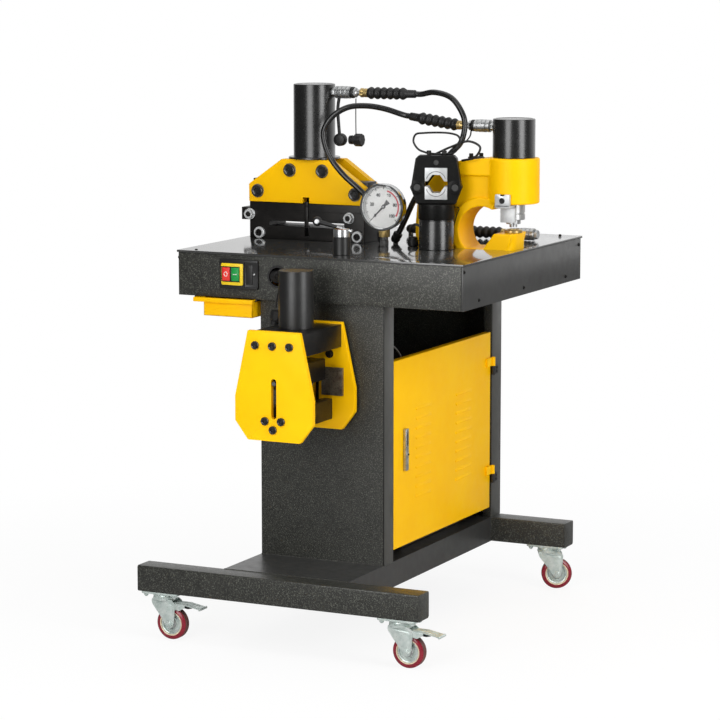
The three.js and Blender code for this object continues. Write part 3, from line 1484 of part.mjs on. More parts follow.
// Manifold under the selector valve, its pipes to the outlets and down to the pump
function valveManifold() {
  const body = block(manifoldX, manifoldY, manifoldZ);
  const rearY = manifoldY[1] - weld;
  const midZ = (manifoldZ[0] + manifoldZ[1]) / 2;
  const lowZ = manifoldZ[0] + 2 * pipeRadius;
  const levels = { cutter: midZ, punch: midZ, crimp: lowZ };
  const starts = {
    cutter: outlets.cutter.at[0],
    punch: outlets.punch.at[0],
    crimp: manifoldX[0] + outletRadius,
  };
  const runs = Object.entries(outlets).map(([tool, outlet]) => {
    const [x, y] = outlet.at;
    const elbow = outletElbow(outlet);
    const line = pipe([
      vector(starts[tool], rearY, levels[tool]), vector(x, y, levels[tool]), elbow,
    ], pipeRadius);
    const ball = new THREE.SphereGeometry(outletRadius, pinSides, tubeSides);
    const sleeve = rodAlong(outletRadius, elbow, outlet.way, 0, outletLength);
    return join(line, solid(ball.translate(elbow.x, elbow.y, elbow.z)), sleeve);
  });
  const side = rodAlong(outletRadius, manifoldPort, right, 0, outletLength + weld);
  const feedX = valveX + pumpFeedShift;
  const feed = pipe([
    vector(feedX, manifoldY[1] - pumpFeedShift, manifoldZ[0] + weld),
    vector(feedX, manifoldY[1] - pumpFeedShift, tankTop + 2 * motorFlangeHeight),
    vector(feedX, tankY[0] + pumpFeedShift, tankTop + 2 * motorFlangeHeight),
    vector(feedX, tankY[0] + pumpFeedShift, tankTop),
  ], pipeRadius);
  return join(body, ...runs, side, feed);
}
add("valve_manifold", valveManifold(), brass());

// Table top, cut out for the punch frame, the valve's neck and the outlet pipes
function tableTop() {
  const plate = block([-tableSide, tableSide], [0, tableDepth], [topUnder, tableHeight]);
  const z = [topUnder - past, tableHeight + past];
  const frameHole = block([punchLeft - slip, punchRight + slip], [punchY0 - slip, punchY1 + slip], z);
  const neckHole = disc("z", [valveX, valveY], valveNeckRadius + seat, ...z);
  const pipeHoles = Object.values(outlets).map(({ at }) => disc("z", at, pipeRadius + slip, ...z));
  return cut(plate, frameHole, neckHole, ...pipeHoles);
}
add("table_top", tableTop(), hammerGrey());

// The frame of the object: middle of its footprint, on the floor
bench.updateMatrixWorld(true);
const bounds = new THREE.Box3().setFromObject(bench, true);
const middle = bounds.getCenter(vector(0, 0, 0));
bench.position.set(-middle.x, -middle.y, -bounds.min.z);

export default bench;
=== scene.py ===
# %% [markdown]
# # A busbar bench, dressed for its portrait
# The bench cuts, punches, crimps and bends copper bars. Its pieces come in as a fixed frame, and this
# lesson gives each one the form and the finish that somebody sees who walks round the machine. Most
# are small drawings: a profile that is turned, an outline cut from plate, a rod that follows points.

# %% Load the frame
import json
import math

import bmesh
import bpy
from bmesh import new as blank
from mathutils import Matrix, Vector


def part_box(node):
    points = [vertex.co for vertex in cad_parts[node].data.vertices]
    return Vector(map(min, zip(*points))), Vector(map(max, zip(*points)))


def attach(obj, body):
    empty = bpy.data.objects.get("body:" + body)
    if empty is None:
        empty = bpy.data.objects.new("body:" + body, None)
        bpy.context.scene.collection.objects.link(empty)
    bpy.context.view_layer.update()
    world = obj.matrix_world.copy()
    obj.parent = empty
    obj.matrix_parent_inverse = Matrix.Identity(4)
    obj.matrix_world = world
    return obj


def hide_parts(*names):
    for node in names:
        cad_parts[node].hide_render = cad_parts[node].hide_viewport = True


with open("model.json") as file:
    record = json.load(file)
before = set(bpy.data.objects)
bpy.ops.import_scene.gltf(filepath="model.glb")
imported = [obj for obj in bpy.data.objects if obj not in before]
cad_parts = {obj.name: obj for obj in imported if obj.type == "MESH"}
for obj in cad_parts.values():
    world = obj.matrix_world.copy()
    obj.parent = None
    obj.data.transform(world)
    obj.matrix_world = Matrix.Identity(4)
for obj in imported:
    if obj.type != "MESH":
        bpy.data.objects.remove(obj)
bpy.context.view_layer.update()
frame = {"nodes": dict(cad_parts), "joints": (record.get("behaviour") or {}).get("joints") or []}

# %% [markdown]
# Every size below is a workshop millimetre, from the middle of the table's front edge at floor level,
# with X to the right, Y away from the worker and Z up. The frame knows where the table is, so nothing
# has to be fitted by hand.

# %% Bench millimetres
MM = 0.001
top_lo, top_hi = (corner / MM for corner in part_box("table_top"))
ORIGIN = Vector(((top_lo.x + top_hi.x) / 2, top_lo.y, 0))


def metres(point):
    return (Vector(point) + ORIGIN) * MM


def extent(node):
    """Lowest and highest corner of a piece of the frame, in bench millimetres."""
    low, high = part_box(node)
    return low / MM - ORIGIN, high / MM - ORIGIN


def anchor(joint):
    """The point on a joint's axis, in bench millimetres."""
    found = next(j for j in frame["joints"] if j["name"] == joint)
    return Vector(found["pos_m"]) / MM - ORIGIN


def add(name, data):
    """An object of the scene that holds a mesh, a curve, a lamp or a camera."""
    obj = bpy.data.objects.new(name, data)
    bpy.context.scene.collection.objects.link(obj)
    return obj


table_lo, table_hi = extent("table_top")
TABLE = table_hi.z
print("table", [round(v) for v in table_hi - table_lo], "mm, top at", round(TABLE, 1))

# %% [markdown]
# ## The camera
# The photograph was taken from far away with a long lens, which keeps the upright edges parallel, so
# the distance matters more than the framing. The angles fit the table's corners and the casters.

# %% Camera
CAMERA_PLACE = (2.837, -5.8885, 1.568)
CAMERA_PITCH_DEG = 8.36
CAMERA_YAW_DEG = 25.96
CAMERA_LENS_MM = 140.25
SENSOR_WIDTH_MM = 36
FAR_CLIP_M = 60
camera_data = bpy.data.cameras.new("portrait_camera")
camera_data.lens = CAMERA_LENS_MM
camera_data.sensor_width = SENSOR_WIDTH_MM
camera_data.clip_end = FAR_CLIP_M
camera = add("portrait_camera", camera_data)
camera.location = CAMERA_PLACE
camera.rotation_euler = (math.radians(90 - CAMERA_PITCH_DEG), 0, math.radians(CAMERA_YAW_DEG))
bpy.context.scene.camera = camera
print("camera", round(camera.location.length, 2), "m away")

# %% [markdown]
# ## Finishes
# Painted sheet, enamel, black oxide, zinc, rubber and brass differ less in colour than in how they
# break the light. Each finish mixes two near shades in soft patches, lets the roughness wander and
# raises a fine grain. The patterns use the object's own coordinates, so they move with the piece.

# %% Colours and patterns
def srgb(red, green, blue, alpha=1.0):
    """A colour read from a screen, 0 to 255, as the linear values that a shader wants."""
    def linear(c):
        c /= 255
        return c / 12.92 if c <= 0.04045 else ((c + 0.055) / 1.055) ** 2.4
    return (linear(red), linear(green), linear(blue), alpha)


def noise(tree, coords, size_mm, detail=3.0, roughness=0.55):
    node = tree.nodes.new("ShaderNodeTexNoise")
    node.inputs["Scale"].default_value = 1 / (size_mm * MM)
    node.inputs["Detail"].default_value = detail
    node.inputs["Roughness"].default_value = roughness
    tree.links.new(coords, node.inputs["Vector"])
    return node.outputs["Fac"]


def between(tree, fac, low, high, out_low, out_high):
    node = tree.nodes.new("ShaderNodeMapRange")
    for name, value in (("From Min", low), ("From Max", high), ("To Min", out_low), ("To Max", out_high)):
        node.inputs[name].default_value = value
    tree.links.new(fac, node.inputs["Value"])
    return node.outputs["Result"]


def blend_shades(tree, fac, dark, light):
    node = tree.nodes.new("ShaderNodeMix")
    node.data_type = "RGBA"
    sockets = {s.identifier: s for s in node.inputs}
    for key, value in (("A_Color", dark), ("B_Color", light)):
        if isinstance(value, tuple):
            sockets[key].default_value = value
        else:
            tree.links.new(value, sockets[key])
    tree.links.new(fac, sockets["Factor_Float"])
    return next(s for s in node.outputs if s.identifier == "Result_Color")


print("middle grey is", round(srgb(128, 128, 128)[0], 2), "of white")

# %% [markdown]
# The recipe joins these patterns to one shader. Noise lies mostly between 0.3 and 0.7, so that range
# is stretched over the two shades. Flecks are the peaks of a finer noise. Uniform values are typed
# into the shader's own sockets, because an exported model keeps only those.

# %% Recipe for a finish
NOISE_RANGE = (0.3, 0.7)
FLECK_RANGE = (0.52, 0.72)
PATCH_TO_WANDER = 5


def finish(name, slot, dark, light, rough, metallic=0.0, patch=60, spread=0.05, grain=None,
           fleck=None, **sockets):
    """A painted, plated or moulded surface. grain is (size, height) and fleck (size, colour, share)."""
    material = bpy.data.materials.new(name)
    material.use_nodes = True
    tree = material.node_tree
    shader = tree.nodes["Principled BSDF"]
    coords = tree.nodes.new("ShaderNodeTexCoord").outputs["Object"]
    patches = between(tree, noise(tree, coords, patch), *NOISE_RANGE, 0, 1)
    colour = blend_shades(tree, patches, srgb(*dark), srgb(*light))
    if fleck:
        size, shade, share = fleck
        spots = between(tree, noise(tree, coords, size, 1.0), *FLECK_RANGE, 0, share)
        colour = blend_shades(tree, spots, colour, srgb(*shade))
    tree.links.new(colour, shader.inputs["Base Color"])
    ripples = noise(tree, coords, patch / PATCH_TO_WANDER)
    wander = between(tree, ripples, *NOISE_RANGE, rough - spread, rough + spread)
    tree.links.new(wander, shader.inputs["Roughness"])
    if grain:
        size, height = grain
        bump = tree.nodes.new("ShaderNodeBump")
        bump.inputs["Distance"].default_value = height * MM
        tree.links.new(noise(tree, coords, size, 2.0), bump.inputs["Height"])
        tree.links.new(bump.outputs["Normal"], shader.inputs["Normal"])
    shader.inputs["Metallic"].default_value = metallic
    for socket, value in sockets.items():
        shader.inputs[socket.replace("_", " ")].default_value = value
    return material


print("patches take", NOISE_RANGE, "of the noise")

# %% [markdown]
# The grey is a hammer-look powder coat: charcoal with pale flecks and a coarse grain. The side
# skirts came out smoother. The posts beside the door get a lighter grey, which is painted light for
# the light that their side catches. The table plate is a gloss black that mirrors the tools through
# a low roughness and a clear coat. Its dark grey base is partly painted reflection, for its dull sheen.

# %% Sheet metal finishes
hammer_grey = finish("hammer_grey", "hammer_grey", (38, 38, 35), (47, 47, 43), 0.42, 0.25,
                     grain=(2.5, 0.75), fleck=(2.3, (116, 118, 108), 0.62), Coat_Weight=0.3,
                     Coat_Roughness=0.32)
smooth_grey = finish("smooth_grey", "hammer_grey", (54, 54, 53), (63, 63, 62), 0.38, 0.2,
                     patch=120, grain=(3.5, 0.08), Coat_Weight=0.2, Coat_Roughness=0.25)
# Painted light: the posts beside the door are a lighter grey for the light that their side catches.
post_grey_painted_light = finish("post_grey_painted_light", "hammer_grey", (70, 70, 67), (80, 80, 76), 0.38, 0.2, patch=120,
                   grain=(3.5, 0.08), Coat_Weight=0.2, Coat_Roughness=0.25)
# Painted reflection, in part: the plate's base is a dark grey rather than black, for the dull sheen it
# shows.
mirror_black = finish("mirror_black", "worktop", (50, 50, 49), (60, 60, 59), 0.16, 0.0,
                      patch=160, spread=0.02, grain=(7, 0.02), fleck=(3.0, (70, 70, 68), 0.5),
                      Coat_Weight=0.8, Coat_Roughness=0.07)
yellow_enamel = finish("yellow_enamel", "yellow_paint", (250, 188, 0), (253, 196, 0), 0.42, 0.0,
                       patch=90, grain=(4.5, 0.045), Specular_IOR_Level=0.12)

# %% [markdown]
# Hydraulic cylinders are dipped in gloss black, bolts and blocks are black oxide, caster stampings
# are zinc with a faintly blue tint, and the couplers are nickel plated. None of them is a pure
# mirror: a little roughness is what makes plating look thin.

# %% Black and bright metals
gloss_black = finish("gloss_black", "gloss_black", (20, 20, 20), (27, 27, 26), 0.28, 0.0, patch=70,
                     spread=0.03, grain=(1.8, 0.01), Coat_Weight=0.7, Coat_Roughness=0.24)
honed_black = finish("honed_black", "gloss_black", (22, 22, 22), (30, 30, 29), 0.4, 0.0, patch=70,
                     spread=0.04, grain=(1.6, 0.012), Coat_Weight=0.15, Coat_Roughness=0.36)
forged_black = finish("forged_black", "satin_black", (10, 10, 10), (17, 17, 16), 0.42, 0.0, patch=20,
                      grain=(2.4, 0.06), fleck=(1.4, (58, 57, 54), 0.3), Specular_IOR_Level=0.14,
                      Coat_Weight=0.08, Coat_Roughness=0.14)
black_oxide = finish("black_oxide", "satin_black", (26, 25, 24), (38, 36, 34), 0.36, 0.55, patch=25,
                     grain=(1.2, 0.03))
satin_black = finish("satin_black", "satin_black", (33, 32, 31), (44, 43, 41), 0.42, 0.2, patch=60,
                     grain=(2.4, 0.07), fleck=(1.8, (78, 74, 70), 0.35))
bright_steel = finish("bright_steel", "bright_steel", (170, 171, 172), (204, 205, 205), 0.36, 0.75,
                      patch=30, spread=0.06, grain=(0.9, 0.008))
ground_steel = finish("ground_steel", "bright_steel", (196, 198, 199), (218, 219, 219), 0.42, 0.45,
                      patch=20, spread=0.06, grain=(0.8, 0.012))
dark_steel = finish("dark_steel", "bright_steel", (86, 86, 85), (112, 112, 110), 0.38, 0.7, patch=9,
                    grain=(1.2, 0.03), fleck=(1.2, (150, 150, 148), 0.5))
worn_steel = finish("worn_steel", "bright_steel", (96, 88, 76), (142, 134, 120), 0.42, 0.8,
                    patch=18, spread=0.1, grain=(1.4, 0.04), fleck=(3.0, (70, 62, 54), 0.7))
chrome = finish("chrome", "zinc", (200, 201, 202), (222, 223, 223), 0.14, 1.0, patch=30, spread=0.03)
nickel = finish("nickel", "zinc", (166, 168, 168), (200, 201, 201), 0.3, 0.9, patch=12, spread=0.05)
zinc = finish("zinc", "zinc", (188, 202, 197), (222, 229, 225), 0.36, 0.5, patch=14, spread=0.1,
              grain=(2.0, 0.04))
brass = finish("brass", "brass", (172, 146, 92), (200, 176, 118), 0.34, 0.85, patch=12, spread=0.06)
copper = finish("copper", "brass", (156, 88, 52), (190, 120, 78), 0.35, 0.9, patch=14, spread=0.08)

# %% [markdown]
# Rubber, polyurethane and the switch's plastics have no metal in them: their highlights are white
# and their edges soft. The clear pane over the dial is thin glass, so it only adds a reflection.

# %% Rubber, plastics and glass
hose_rubber = finish("hose_rubber", "black_rubber", (14, 14, 14), (21, 21, 21), 0.3, patch=22,
                     grain=(1.1, 0.05), Coat_Weight=0.35, Coat_Roughness=0.22)
soft_rubber = finish("soft_rubber", "black_rubber", (17, 17, 17), (27, 26, 26), 0.5, patch=15,
                     grain=(1.0, 0.06))
tyre_red = finish("tyre_red", "wheel_red", (116, 12, 30), (146, 22, 44), 0.3, patch=14,
                  grain=(1.5, 0.03), Coat_Weight=0.5, Coat_Roughness=0.15)
tread_red = finish("tread_red", "wheel_red", (92, 50, 46), (124, 84, 74), 0.6, patch=9, grain=(1.2, 0.08))
hub_cream = finish("hub_cream", "white_plastic", (214, 198, 168), (232, 218, 190), 0.42, patch=12)
switch_yellow = finish("switch_yellow", "yellow_paint", (226, 190, 8), (238, 204, 20), 0.4, patch=20,
                       grain=(0.8, 0.02))
switch_black = finish("switch_black", "satin_black", (24, 24, 24), (32, 32, 32), 0.4, patch=20,
                      grain=(1.0, 0.04))
button_red = finish("button_red", "red_plastic", (214, 40, 32), (228, 58, 46), 0.34, patch=9)
button_green = finish("button_green", "green_plastic", (14, 138, 58), (24, 152, 68), 0.34, patch=9)
white_plastic = finish("white_plastic", "white_plastic", (224, 224, 220), (240, 240, 236), 0.4, patch=25)
dial_white = finish("dial_white", "gauge", (232, 232, 230), (240, 240, 238), 0.5, patch=30)
dial_ink = finish("dial_ink", "gauge", (24, 24, 26), (34, 34, 36), 0.5, patch=6)
dial_red = finish("dial_red", "gauge", (206, 30, 52), (220, 44, 64), 0.5, patch=6)
clear_glass = finish("clear_glass", "clear_glass", (250, 250, 250), (255, 255, 255), 0.03, patch=50,
                     spread=0.01, Alpha=0.05)

# %% [markdown]
# ## Three ways to make a piece
# A turned piece is a list of rings, and a ring may have six sides, which gives nuts and sockets. A
# plate is an outline pushed through its thickness. A hose, wire or pipe is a circle carried along
# points. Real edges are never sharp, so each helper rounds them while they are easy to find.

# %% Turned pieces
UP = (0, 0, 1)
RIGHT = (1, 0, 0)
LEFT = (-1, 0, 0)
FRONT = (0, -1, 0)
BACK = (0, 1, 0)


def ring_points(radius, height, sides, steps):
    points = []
    for i in range(steps):
        angle = 2 * math.pi * i / steps
        reach = radius
        if sides:
            half = math.pi / sides
            reach = radius * math.cos(half) / math.cos(angle % (2 * half) - half)
        points.append(Vector((reach * math.cos(angle), reach * math.sin(angle), height)))
    return points


def revolve(bm, rings, at=(0, 0, 0), along=UP, steps=48, loop=False):
    """Rings are (radius, height) or (radius over corners, height, sides); loop closes a bore."""
    turn = Vector(UP).rotation_difference(Vector(along)).to_matrix()
    at = Vector(at)
    rows = []
    for radius, height, *sides in rings:
        around = ring_points(radius, height, sides[0] if sides else 0, steps if radius else 1)
        rows.append([bm.verts.new(at + turn @ p) for p in around])
    pairs = list(zip(rows, rows[1:])) + ([(rows[-1], rows[0])] if loop else [])
    for a, b in pairs:
        for i in range(steps):
            j = (i + 1) % steps
            corners = [a[i % len(a)], a[j % len(a)], b[j % len(b)], b[i % len(b)]]
            corners = list(dict.fromkeys(corners))
            if len(corners) > 2:
                bm.faces.new(corners)
    if not loop:
        for row in (rows[0], rows[-1]):
            if len(row) > 1:
                bm.faces.new(row)
    return bm


def lifted(rings, level):
    return [(radius, level + height) for radius, height in rings]


print("a nut's ring has", len(ring_points(10, 0, 6, 48)), "points")

# %% [markdown]
# Blocks and plates cover everything that is sawn, sheared or folded. The bevel comes last, on edges
# that are still known: a block's twelve, or the two rims of a plate.


# %% Blocks and plates
def bevel(bm, edges, size, steps):
    bmesh.ops.bevel(bm, geom=edges, offset=size, segments=steps, profile=0.5, affect="EDGES")


def block(bm, low, high, edge=1.0, steps=2):
    """A box with rounded edges."""
    corners = bmesh.ops.create_cube(bm, size=1)["verts"]
    for v in corners:
        v.co = Vector(low[i] if v.co[i] < 0 else high[i] for i in range(3))
    if edge:
        bevel(bm, list({e for v in corners for e in v.link_edges}), edge, steps)
    return bm


def slab(bm, outline, axis, low, high, edge=1.0, steps=2):
    """An outline pushed along an axis: pairs are (y, z) for x, (x, z) for y and (x, y) for z."""
    place = {
        "x": lambda a, b, t: (t, a, b),
        "y": lambda a, b, t: (a, t, b),
        "z": lambda a, b, t: (a, b, t),
    }[axis]
    rims = [[bm.verts.new(place(a, b, t)) for a, b in outline] for t in (low, high)]
    for rim in rims:
        bm.faces.new(rim)
    count = len(outline)
    for i in range(count):
        j = (i + 1) % count
        bm.faces.new((rims[0][i], rims[0][j], rims[1][j], rims[1][i]))
    if edge:
        rim_edges = [bm.edges.get((rim[i], rim[(i + 1) % count])) for rim in rims for i in range(count)]
        bevel(bm, rim_edges, edge, steps)
    return bm


test_plate = slab(blank(), [(0, 0), (9, 0), (9, 5)], "z", 0, 2)
print("a bevelled triangle of plate has", len(test_plate.faces), "faces")
test_plate.free()

# %% [markdown]
# An outline's corners are eased by a small parabola between two points on its sides. A corner takes
# less than half of a side, so that two neighbours never cross.

# %% Outlines
SIDE_SHARE = 0.48
NEARLY_STRAIGHT_DEG = 88


def rounded(outline, radius, steps=4):
    """The outline with each corner eased; radius is one size, or one for each corner."""
    count = len(outline)
    sizes = radius if isinstance(radius, (list, tuple)) else [radius] * count
    eased = []
    for i, size in enumerate(sizes):
        corner = Vector(outline[i])
        ways = [Vector(outline[i - 1]) - corner, Vector(outline[(i + 1) % count]) - corner]
        half = ways[0].angle(ways[1]) / 2
        reach = min(size / math.tan(half), *(way.length * SIDE_SHARE for way in ways))
        if size == 0 or half > math.radians(NEARLY_STRAIGHT_DEG):
            eased.append(tuple(corner))
            continue
        start, end = (corner + way.normalized() * reach for way in ways)
        for s in range(steps + 1):
            t = s / steps
            eased.append(tuple(start * (1 - t) ** 2 + corner * 2 * t * (1 - t) + end * t * t))
    return eased


def arc(centre, radius, start_deg, end_deg, steps=24):
    points = []
    for i in range(steps + 1):
        a = math.radians(start_deg + (end_deg - start_deg) * i / steps)
        points.append((centre[0] + radius * math.cos(a), centre[1] + radius * math.sin(a)))
    return points


def rectangle(x, y, radius=0, steps=4):
    corners = [(x[0], y[0]), (x[1], y[0]), (x[1], y[1]), (x[0], y[1])]
    return rounded(corners, radius, steps) if radius else corners


print("a rounded rectangle has", len(rectangle((0, 10), (0, 5), 1)), "points")

# %% [markdown]
# A rod is a ring carried from point to point. Its first normal is handed on and only corrected, so
# the ring never twists. A hose's few points are first joined by a centripetal curve, which passes
# through each of them and doesn't swing out beside a long stretch.


# %% Rods along points
def sweep(bm, points, radius, steps=16, closed=False):
    """A round rod along points; radius is one size, or one for each point."""
    points = [Vector(p) for p in points]
    count = len(points)
    sizes = radius if isinstance(radius, (list, tuple)) else [radius] * count
    normal = None
    rows = []
    for i, point in enumerate(points):
        ahead = points[(i + 1) % count] if closed or i < count - 1 else point
        behind = points[i - 1] if closed or i else point
        way = (ahead - behind).normalized()
        if normal is None:
            normal = way.orthogonal().normalized()
        normal = (normal - way * normal.dot(way)).normalized()
        side = way.cross(normal)
        around = [2 * math.pi * k / steps for k in range(steps)]
        rows.append([bm.verts.new(point + (normal * math.cos(a) + side * math.sin(a)) * sizes[i])
                     for a in around])
    for a, b in list(zip(rows, rows[1:])) + ([(rows[-1], rows[0])] if closed else []):
        for i in range(steps):
            j = (i + 1) % steps
            bm.faces.new((a[i], a[j], b[j], b[i]))
    if not closed:
        for row in (rows[0], rows[-1]):
            bm.faces.new(row)
    return bm


def smooth_path(points, steps=8):
    """Centripetal curve through given points, the way a hose lies between its clamps."""
    points = [Vector(p) for p in points]
    padded = [2 * points[0] - points[1], *points, 2 * points[-1] - points[-2]]
    path = []
    for a, b, c, d in zip(padded, padded[1:], padded[2:], padded[3:]):
        gaps = [max((q - p).length ** 0.5, 1e-6) for p, q in ((a, b), (b, c), (c, d))]
        start = ((b - a) / gaps[0] - (c - a) / (gaps[0] + gaps[1]) + (c - b) / gaps[1]) * gaps[1]
        end = ((c - b) / gaps[1] - (d - b) / (gaps[1] + gaps[2]) + (d - c) / gaps[2]) * gaps[1]
        for i in range(steps):
            t = i / steps
            path.append(b * (2 * t**3 - 3 * t**2 + 1) + start * (t**3 - 2 * t**2 + t)
                        + c * (3 * t**2 - 2 * t**3) + end * (t**3 - t**2))
    return [*path, points[-1]]


print("three points give a path of", len(smooth_path([(0, 0, 0), (1, 0, 0), (1, 1, 0)])))

# %% [markdown]
# The last step is the same for every piece: normals outward, millimetres to metres, smooth shading
# with the true edges sharp, then its finish, its body and the pieces of the frame it stands for.


# %% The last step of every piece
def dress(obj, material, body, stands_for=()):
    """Gives a piece its finish, its body and the pieces of the frame that it stands for."""
    obj.data.materials.append(material)
    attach(obj, body)
    if stands_for:
        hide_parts(*stands_for)
    return obj


def as_mesh(name, bm):
    mesh = bpy.data.meshes.new(name)
    bm.to_mesh(mesh)
    bm.free()
    return mesh


def make(name, bm, material, stands_for=(), body="bench", crease=32):
    """Turns a drawing in bench millimetres into a piece in metres."""
    bmesh.ops.recalc_face_normals(bm, faces=bm.faces)
    for v in bm.verts:
        v.co = metres(v.co)
    mesh = as_mesh(name, bm)
    mesh.shade_smooth()
    mesh.set_sharp_from_angle(angle=math.radians(crease))
    return dress(add(name, mesh), material, body, stands_for)

# %% [markdown]
# Slots, bores and windows are cut from a blank by a second drawing, with Blender's exact boolean,
# which gives crisp edges. Castings are soft where they meet, so theirs is a remesh and a smoothing.


# %% Cutting and casting
def workpiece(bm, name):
    bmesh.ops.recalc_face_normals(bm, faces=bm.faces)
    return add(name, as_mesh(name, bm))


def machined(obj, *helpers):
    """The drawing that a workpiece's modifiers give, once they have done their work."""
    graph = bpy.context.evaluated_depsgraph_get()
    mesh = bpy.data.meshes.new_from_object(obj.evaluated_get(graph))
    result = blank()
    result.from_mesh(mesh)
    for used in (obj, *helpers):
        bpy.data.objects.remove(used)
    return result


def combine(bm, other, operation="DIFFERENCE"):
    """Cuts, joins or intersects two drawings."""
    base, tool = workpiece(bm, "blank"), workpiece(other, "tool")
    step = base.modifiers.new("combine", "BOOLEAN")
    step.operation = operation
    step.object = tool
    step.solver = "EXACT"
    return machined(base, tool)


def cast(bm, grain=1.5, rounds=4):
    """Melts overlapping forms into one skin with soft inner corners, as a sand casting has."""
    blank = workpiece(bm, "pattern")
    melt = blank.modifiers.new("melt", "REMESH")
    melt.mode = "VOXEL"
    melt.voxel_size = grain
    ease = blank.modifiers.new("ease", "SMOOTH")
    ease.iterations = rounds
    return machined(blank)


bored = combine(block(blank(), (-5, -5, 0), (5, 5, 2), 0), revolve(blank(), [(2, -1), (2, 3)]))
print("a bored block has", len(bored.faces), "faces")
bored.free()

# %% [markdown]
# ## Hoses
# Two stiff hydraulic hoses leave the cutter and the punch and go back down into the table. A third
# lies unconnected behind the punch. Their points are the same that the frame has, joined by a smooth
# curve.

# %% The ports that the hoses leave from
FIT = 0.3
HOSE = 13.5
COUPLING = 93
RIB_PITCH = 16.5
SLEEVE = 25
RIBS = 6
BENDER_RIBS = 3
HOSE_LEVEL = 824
cutter_port = Vector((-137.7, 361, 1228))
punch_port = Vector((279.2, 363.5, 1158.3))
crimp_port = Vector((315, table_hi.y - 164, TABLE + 15.3))
cutter_way, punch_way, crimp_way = Vector(RIGHT), Vector(LEFT), Vector(LEFT)
lift_angle = math.radians(8)
punch_lift = Vector((-math.cos(lift_angle), 0, math.sin(lift_angle)))
outlet_tilt = math.radians(29)
outlet_way = Vector((math.sin(outlet_tilt), 0, math.cos(outlet_tilt)))
OUTLET_UP = 12
SLEEVE_RIM = 16
outlets = {
    "cutter": (Vector((35.5, 344, TABLE + OUTLET_UP)), outlet_way),
    "punch": (Vector((8, 327, TABLE + OUTLET_UP)), Vector(UP)),
    "crimp": (Vector((-20, crimp_port.y, crimp_port.z)), Vector(RIGHT)),
}
print(len(outlets), "outlets, the bender's hose at", HOSE_LEVEL)


def leaving(port, way, bend=None, ribs=RIBS):
    """Where a hose leaves its fitting, and a point that keeps its first stretch straight."""
    start = port + way * COUPLING
    reach = ribs * RIB_PITCH + SLEEVE + FIT
    return [start + (bend or way) * t for t in (reach, reach + HOSE)]


def arriving(outlet):
    """The last two points of a hose, straight into the outlet's sleeve."""
    at, way = outlets[outlet]
    end = SLEEVE_RIM + FIT
    return [at + way * (end + HOSE), at + way * end]


# %% [markdown]
# The points between a hose's straight ends were set until the hose covered its picture and
# kept a bend that a stiff hose can take. The bender's hose isn't seen, so it is the simplest run.

# %% The routes
cutter_route = leaving(cutter_port, cutter_way) + [
    (128.9, 355, 1233.6), (177, 346, 1222.3), (207.8, 338, 1189.9), (218.3, 332, 1162.5),
    (210.5, 327, 1120.4), (187, 325, 1096), (146, 326, 1054), (116.5, 329, 1018.5),
    (90.5, 334, 984.7), (62, 341, 934),
] + arriving("cutter")
punch_route = leaving(punch_port, punch_way, punch_lift) + [
    (4.9, 345, 1192.7), (-34, 327, 1199.3), (-73.1, 307, 1195.6), (-106.8, 291, 1172.7),
    (-124.7, 285, 1141.2), (-121.3, 285, 1107.1), (-105.7, 289, 1071.4), (-76, 293, 1036.4),
    (-37.5, 299, 1002.9), (-10.3, 309, 972.4), (3.5, 320, 940),
] + arriving("punch")
crimp_route = [*reversed(arriving("crimp")), *reversed(leaving(crimp_port, crimp_way)),
               crimp_port + crimp_way * (COUPLING + 60), crimp_port + crimp_way * (COUPLING - 8)]
bender_x = -2
bender_y = -98.5
BENDER_BARREL_FLAT = 38.3
MANIFOLD_PORT_X = -36.5
bender_way = Vector((-100, 102, 0)).normalized()
bender_port = Vector((bender_x, bender_y, HOSE_LEVEL)) + bender_way * BENDER_BARREL_FLAT


def bender_turn(radius=60, steps=12):
    """The bender's hose turns behind the skirt and runs to the manifold's side."""
    leave, lead = leaving(bender_port, bender_way, ribs=BENDER_RIBS)
    centre = lead + Vector((bender_way.y, -bender_way.x, 0)) * radius
    start = math.atan2(lead.y - centre.y, lead.x - centre.x) + 2 * math.pi
    route = [leave]
    for i in range(steps + 1):
        turn = start + (math.pi / 2 - start) * i / steps
        route.append(centre + Vector((math.cos(turn), math.sin(turn), 0)) * radius)
    side = Vector((MANIFOLD_PORT_X, centre.y + radius, HOSE_LEVEL))
    return route + [side - Vector(RIGHT) * (HOSE + FIT), side - Vector(RIGHT) * FIT]


print("routes of", len(cutter_route), len(punch_route), "and", len(crimp_route), "points")

# %% [markdown]
# A hose is Blender's own curve with a round bevel, because a curve stays a cord that can be laid
# again.


def hose(name, points):
    path = [metres(p) for p in smooth_path(points, 6)]
    curve = bpy.data.curves.new(name + "_line", "CURVE")
    curve.dimensions = "3D"
    curve.bevel_depth = HOSE / 2 * MM
    curve.bevel_resolution = 7
    curve.use_fill_caps = True
    spline = curve.splines.new("POLY")
    spline.points.add(len(path) - 1)
    for point, place in zip(spline.points, path):
        point.co = (*place, 1)
    spline.use_smooth = True
    obj = add(name + "_line", curve)
    dress(obj, hose_rubber, "bench", [name])
    length = sum((b - a).length for a, b in zip(path, path[1:]))
    print(name, round(length / MM), "mm")
    return obj, path, length


def free_hose(name, points, with_pieces=()):
    obj, path, length = hose(name, points)


free_hose("hose_cutter", cutter_route)
free_hose("hose_punch", punch_route)
hose("hose_bender", bender_turn())

# %% [markdown]
# Each hose ends in the same run of parts: a quick coupler with its locking rings, a hexagon, a brass
# ferrule and a rubber bend restrictor. All are turned, so each is one list of rings along the port.

# %% Coupler, ring and ferrule
COUPLER_RINGS = [(9.5, 8), (13.2, 8), (14.6, 9.2), (14.6, 15), (12.6, 16.2), (12.6, 18.4), (14.8, 19.6),
                 (14.8, 26), (13.4, 27), (13.4, 28.6), (14.8, 29.6), (14.8, 37), (13, 38.2), (13, 40.2),
                 (14.4, 41.2), (14.4, 46), (12.6, 47), (12.6, 48)]


